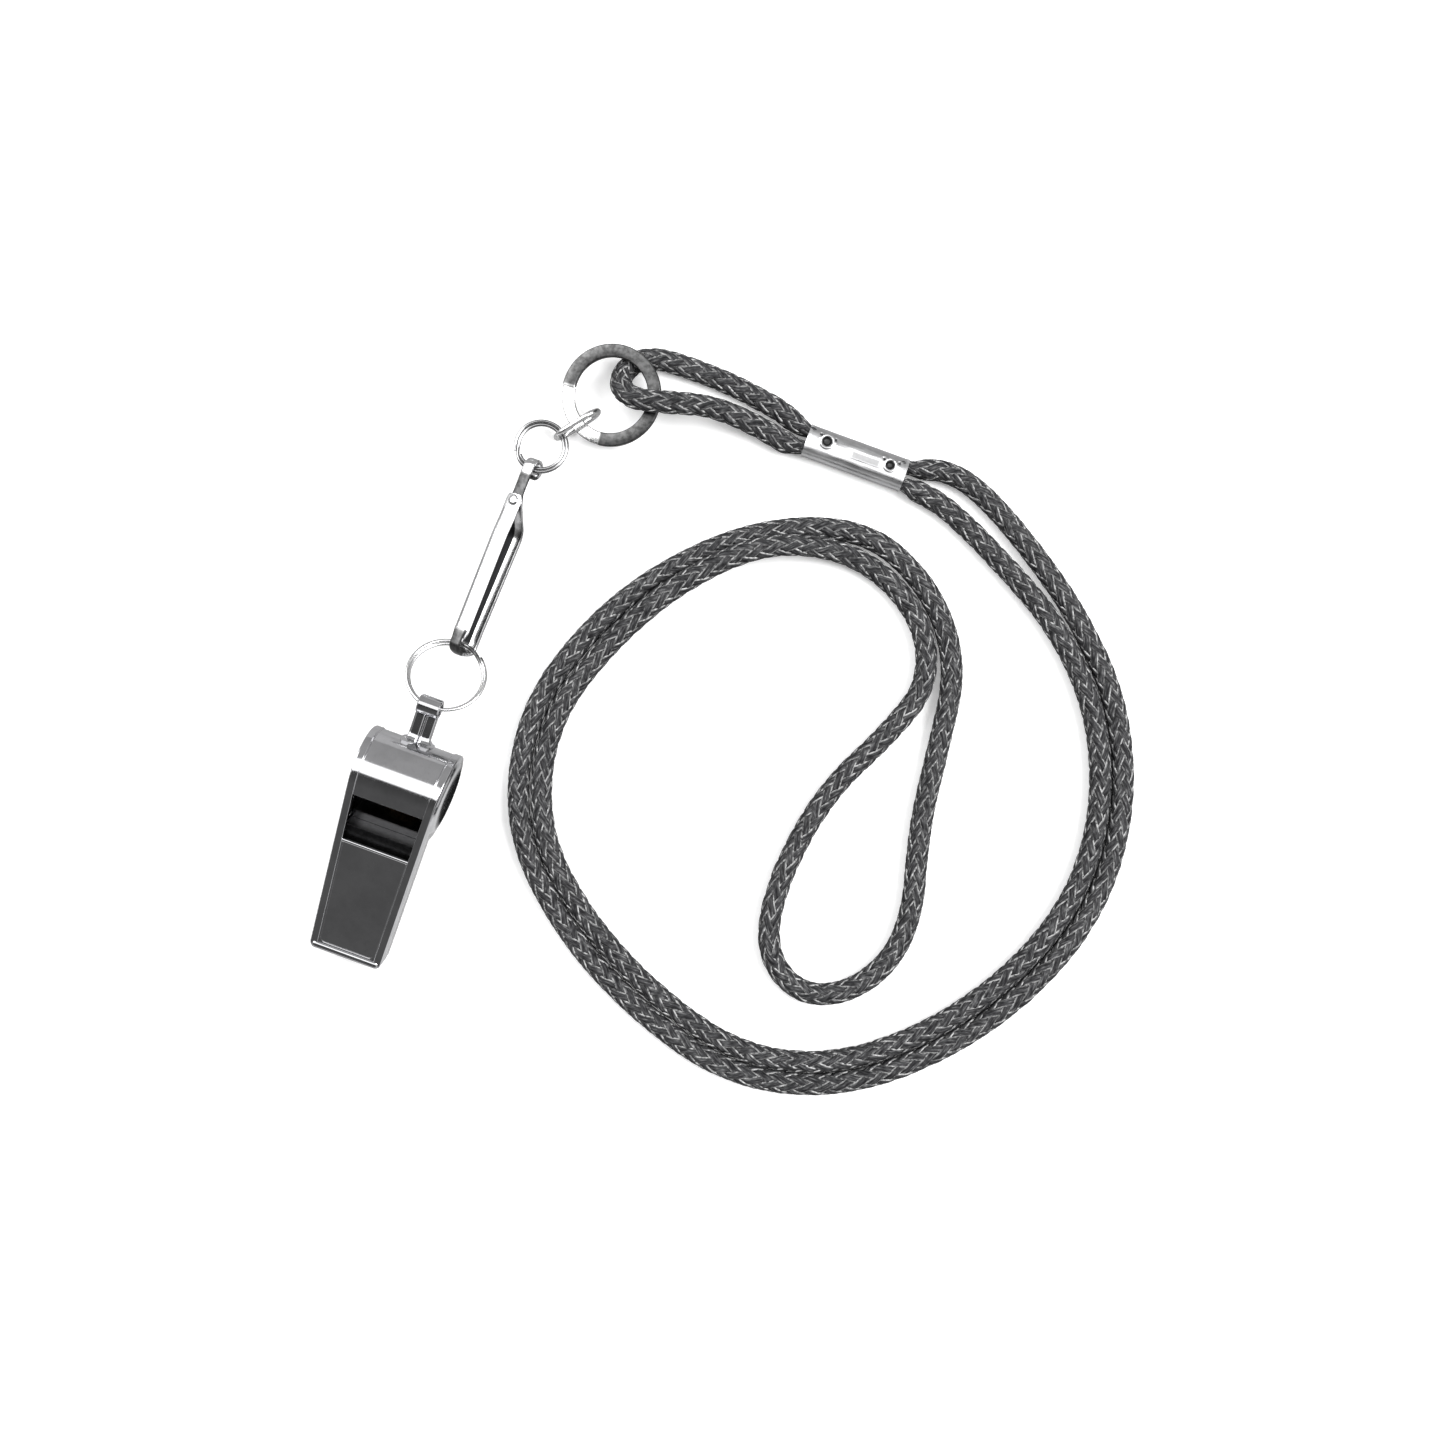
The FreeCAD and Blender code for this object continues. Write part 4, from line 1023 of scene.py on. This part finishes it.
def ferrule_darkening(p):
    """The dimples and nicks are painted black inside and the rear corner darker, as shade; the panel is a
    little darker than the top.
    """
    x, y, z = p
    if z < 1.0:
        return 0.0
    pit = max(0.72 * smooth((r * 0.9 - math.hypot(x - hx, y - hy)) / 0.2) for hx, hy, r in HOLES)
    rear = 0.2 * smooth((y - 1.5) / 0.4) * smooth((11.6 - abs(x)) / 0.4)
    nick = max(0.8 * smooth((0.42 - math.hypot(x - nx, y - ny)) / 0.2) for nx, ny in NICKS)
    panel = smooth((3.6 - abs(x - 2.2)) / 0.6) * smooth((0.85 - abs(y + 0.1)) / 0.3)
    return max(pit, nick, rear, 0.3 * panel)


piece(
    "ferrule", [flip(ferrule())], SLEEVE, "lanyard", ["crimp_ferrule"],
    Matrix.Translation(FERRULE), sharp=60.0, wear_and_shade=ferrule_darkening,
)

# ---------------------------------------------------------------- floor and light

# The floor is plain and pale to the camera. In reflections it is greyer, with a painted pool of light beside
# the mouthpiece, which glows, and a painted contact shadow where the barrel's right plate meets it.
floor_mesh = bpy.data.meshes.new("floor")
far = 4.0
floor_mesh.from_pydata([(-far, -far, 0), (far, -far, 0), (far, far, 0), (-far, far, 0)], [], [(0, 1, 2, 3)])
floor = bpy.data.objects.new("floor", floor_mesh)
bpy.context.scene.collection.objects.link(floor)
paper = Nodes("floor_paper")
seen = paper.add("ShaderNodeLightPath").outputs["Is Camera Ray"]
POOL_CENTRE, POOL_START, POOL_END = (-0.010, -0.056, 0.0), 0.026, 0.037
spot = paper.add("ShaderNodeVectorMath", {0: paper.place, 1: POOL_CENTRE}, operation="DISTANCE")
inputs = {"Value": spot.outputs["Value"], "From Min": POOL_START, "From Max": POOL_END}
pool = paper.add("ShaderNodeMapRange", {**inputs, "To Min": 0.49, "To Max": 0.34})
# A painted contact shadow, seen only in reflections: the floor darkens in an ellipse beside the barrel's
# right plate.
foot_x, foot_y = barrel_centre.x + REAR_HALF + 0.7, barrel_centre.y - 0.5
foot_wide, foot_long = 2.1, 8.0
foot = paper.add("ShaderNodeVectorMath", {
    0: paper.place, 1: (1 / (foot_wide * MM), 1 / (foot_long * MM), 0.0),
    2: (-foot_x / foot_wide, -foot_y / foot_long, 0.0),
}, operation="MULTIPLY_ADD")
foot = paper.add("ShaderNodeVectorMath", {0: foot.outputs[0]}, operation="LENGTH").outputs["Value"]
foot = paper.add("ShaderNodeMapRange", {"Value": foot, "From Min": 0.8, "From Max": 1.15, "To Min": 0.02})
pool = paper.add("ShaderNodeMath", {0: pool.outputs[0], 1: foot.outputs[0]}, operation="MULTIPLY")
tone = paper.blend(seen, pool.outputs[0], (0.86, 0.86, 0.86, 1.0))
# Where the pool is bright enough it glows in reflections, as painted light.
lit = paper.add("ShaderNodeMath", {0: pool.outputs[0], 1: 1.3, 2: -0.5}, operation="MULTIPLY_ADD").outputs[0]
lit = paper.add("ShaderNodeMath", {0: lit, 1: 0.0}, operation="MAXIMUM").outputs[0]
glow = paper.add("ShaderNodeMapRange", {"Value": seen, "To Min": lit, "To Max": 0.26}).outputs[0]
floor_mesh.materials.append(paper.finish(
    Base_Color=tone, Roughness=0.9, Specular_IOR_Level=0.0, Emission_Color=(1.0, 1.0, 1.0, 1.0),
    Emission_Strength=glow,
))

world = bpy.data.worlds.new("studio")
bpy.context.scene.world = world
world.use_nodes = True
tree = world.node_tree
tree.nodes.clear()


def world_node(kind, *inputs, **settings):
    node = tree.nodes.new(kind)
    for key, value in settings.items():
        setattr(node, key, value)
    for socket, value in zip(node.inputs, inputs):
        if isinstance(value, bpy.types.NodeSocket):
            tree.links.new(value, socket)
        elif value is not None:
            socket.default_value = value
    return node


# The studio round the object: a soft light overhead, a dark card in front of it, a grey wall behind, a
# white card to the right, and one to the left that is pale above and darker in front. Angles are from
# straight up, towards the whistle's rear.
axes = world_node("ShaderNodeSeparateXYZ", world_node("ShaderNodeTexCoord").outputs["Generated"])
lean = world_node("ShaderNodeMath", axes.outputs["Y"], axes.outputs["Z"], operation="ARCTAN2").outputs[0]
share = world_node("ShaderNodeMapRange", lean, -math.pi / 2, math.pi / 2, 0.0, 1.0).outputs[0]


def levels(*stops):
    ramp = world_node("ShaderNodeValToRGB", share)
    elements = ramp.color_ramp.elements
    while len(elements) < len(stops):
        elements.new(0.5)
    for element, (angle, level) in zip(elements, stops):
        element.position = (angle + 90) / 180
        element.color = (level, level, level, 1.0)
    return ramp.outputs["Color"]


def sky_blend(factor, low, high):
    node = world_node("ShaderNodeMix", factor, data_type="RGBA")
    tree.links.new(low, node.inputs[6])
    tree.links.new(high, node.inputs[7])
    return node.outputs[2]


across = axes.outputs["X"]
overhead = levels(
    (-90, 0.8), (-78, 0.8), (-66, 0.12), (-40, 0.11), (-16, 0.07), (-7, 0.06), (-5.5, 1.9), (25, 1.9),
    (27, 0.42), (60, 0.44), (90, 0.40),
)
left = levels((-90, 0.3), (-25, 0.10), (-14, 1.08), (40, 1.08), (60, 0.5), (90, 0.4))
right = levels((-90, 0.7), (90, 0.9))
left_share = world_node("ShaderNodeMapRange", across, -0.5, -0.62, 0.0, 1.0).outputs[0]
low_share = world_node("ShaderNodeMapRange", across, -0.93, -0.98, 0.0, 1.0).outputs[0]
right_share = world_node("ShaderNodeMapRange", across, 0.6, 0.85, 0.0, 1.0).outputs[0]
sky = sky_blend(right_share, sky_blend(left_share, overhead, left), right)
sky = sky_blend(low_share, sky, levels((-90, 0.25), (90, 0.3)))
seen = world_node("ShaderNodeLightPath").outputs["Is Camera Ray"]
shown = world_node("ShaderNodeMix", seen, data_type="RGBA")
tree.links.new(sky, shown.inputs[6])
shown.inputs[7].default_value = (0.93, 0.93, 0.93, 1.0)
background = world_node("ShaderNodeBackground", shown.outputs[2], 1.0)
world_node("ShaderNodeOutputWorld", background.outputs[0])


def softbox(name, spot, aim, width, height, power):
    light = bpy.data.lights.new(name, "AREA")
    light.shape = "RECTANGLE"
    light.size, light.size_y, light.energy = width, height, power
    lamp = bpy.data.objects.new(name, light)
    lamp.location = spot
    lamp.rotation_euler = (Vector(aim) - Vector(spot)).to_track_quat("-Z", "Y").to_euler()
    bpy.context.scene.collection.objects.link(lamp)


softbox("key", (0.55, 0.25, 0.75), (0.03, 0.0, 0.0), 0.5, 0.5, 9.0)
softbox("fill", (-0.6, 0.2, 0.6), (0.03, 0.0, 0.0), 0.6, 0.5, 5.0)
bpy.context.scene.view_settings.view_transform = "Standard"
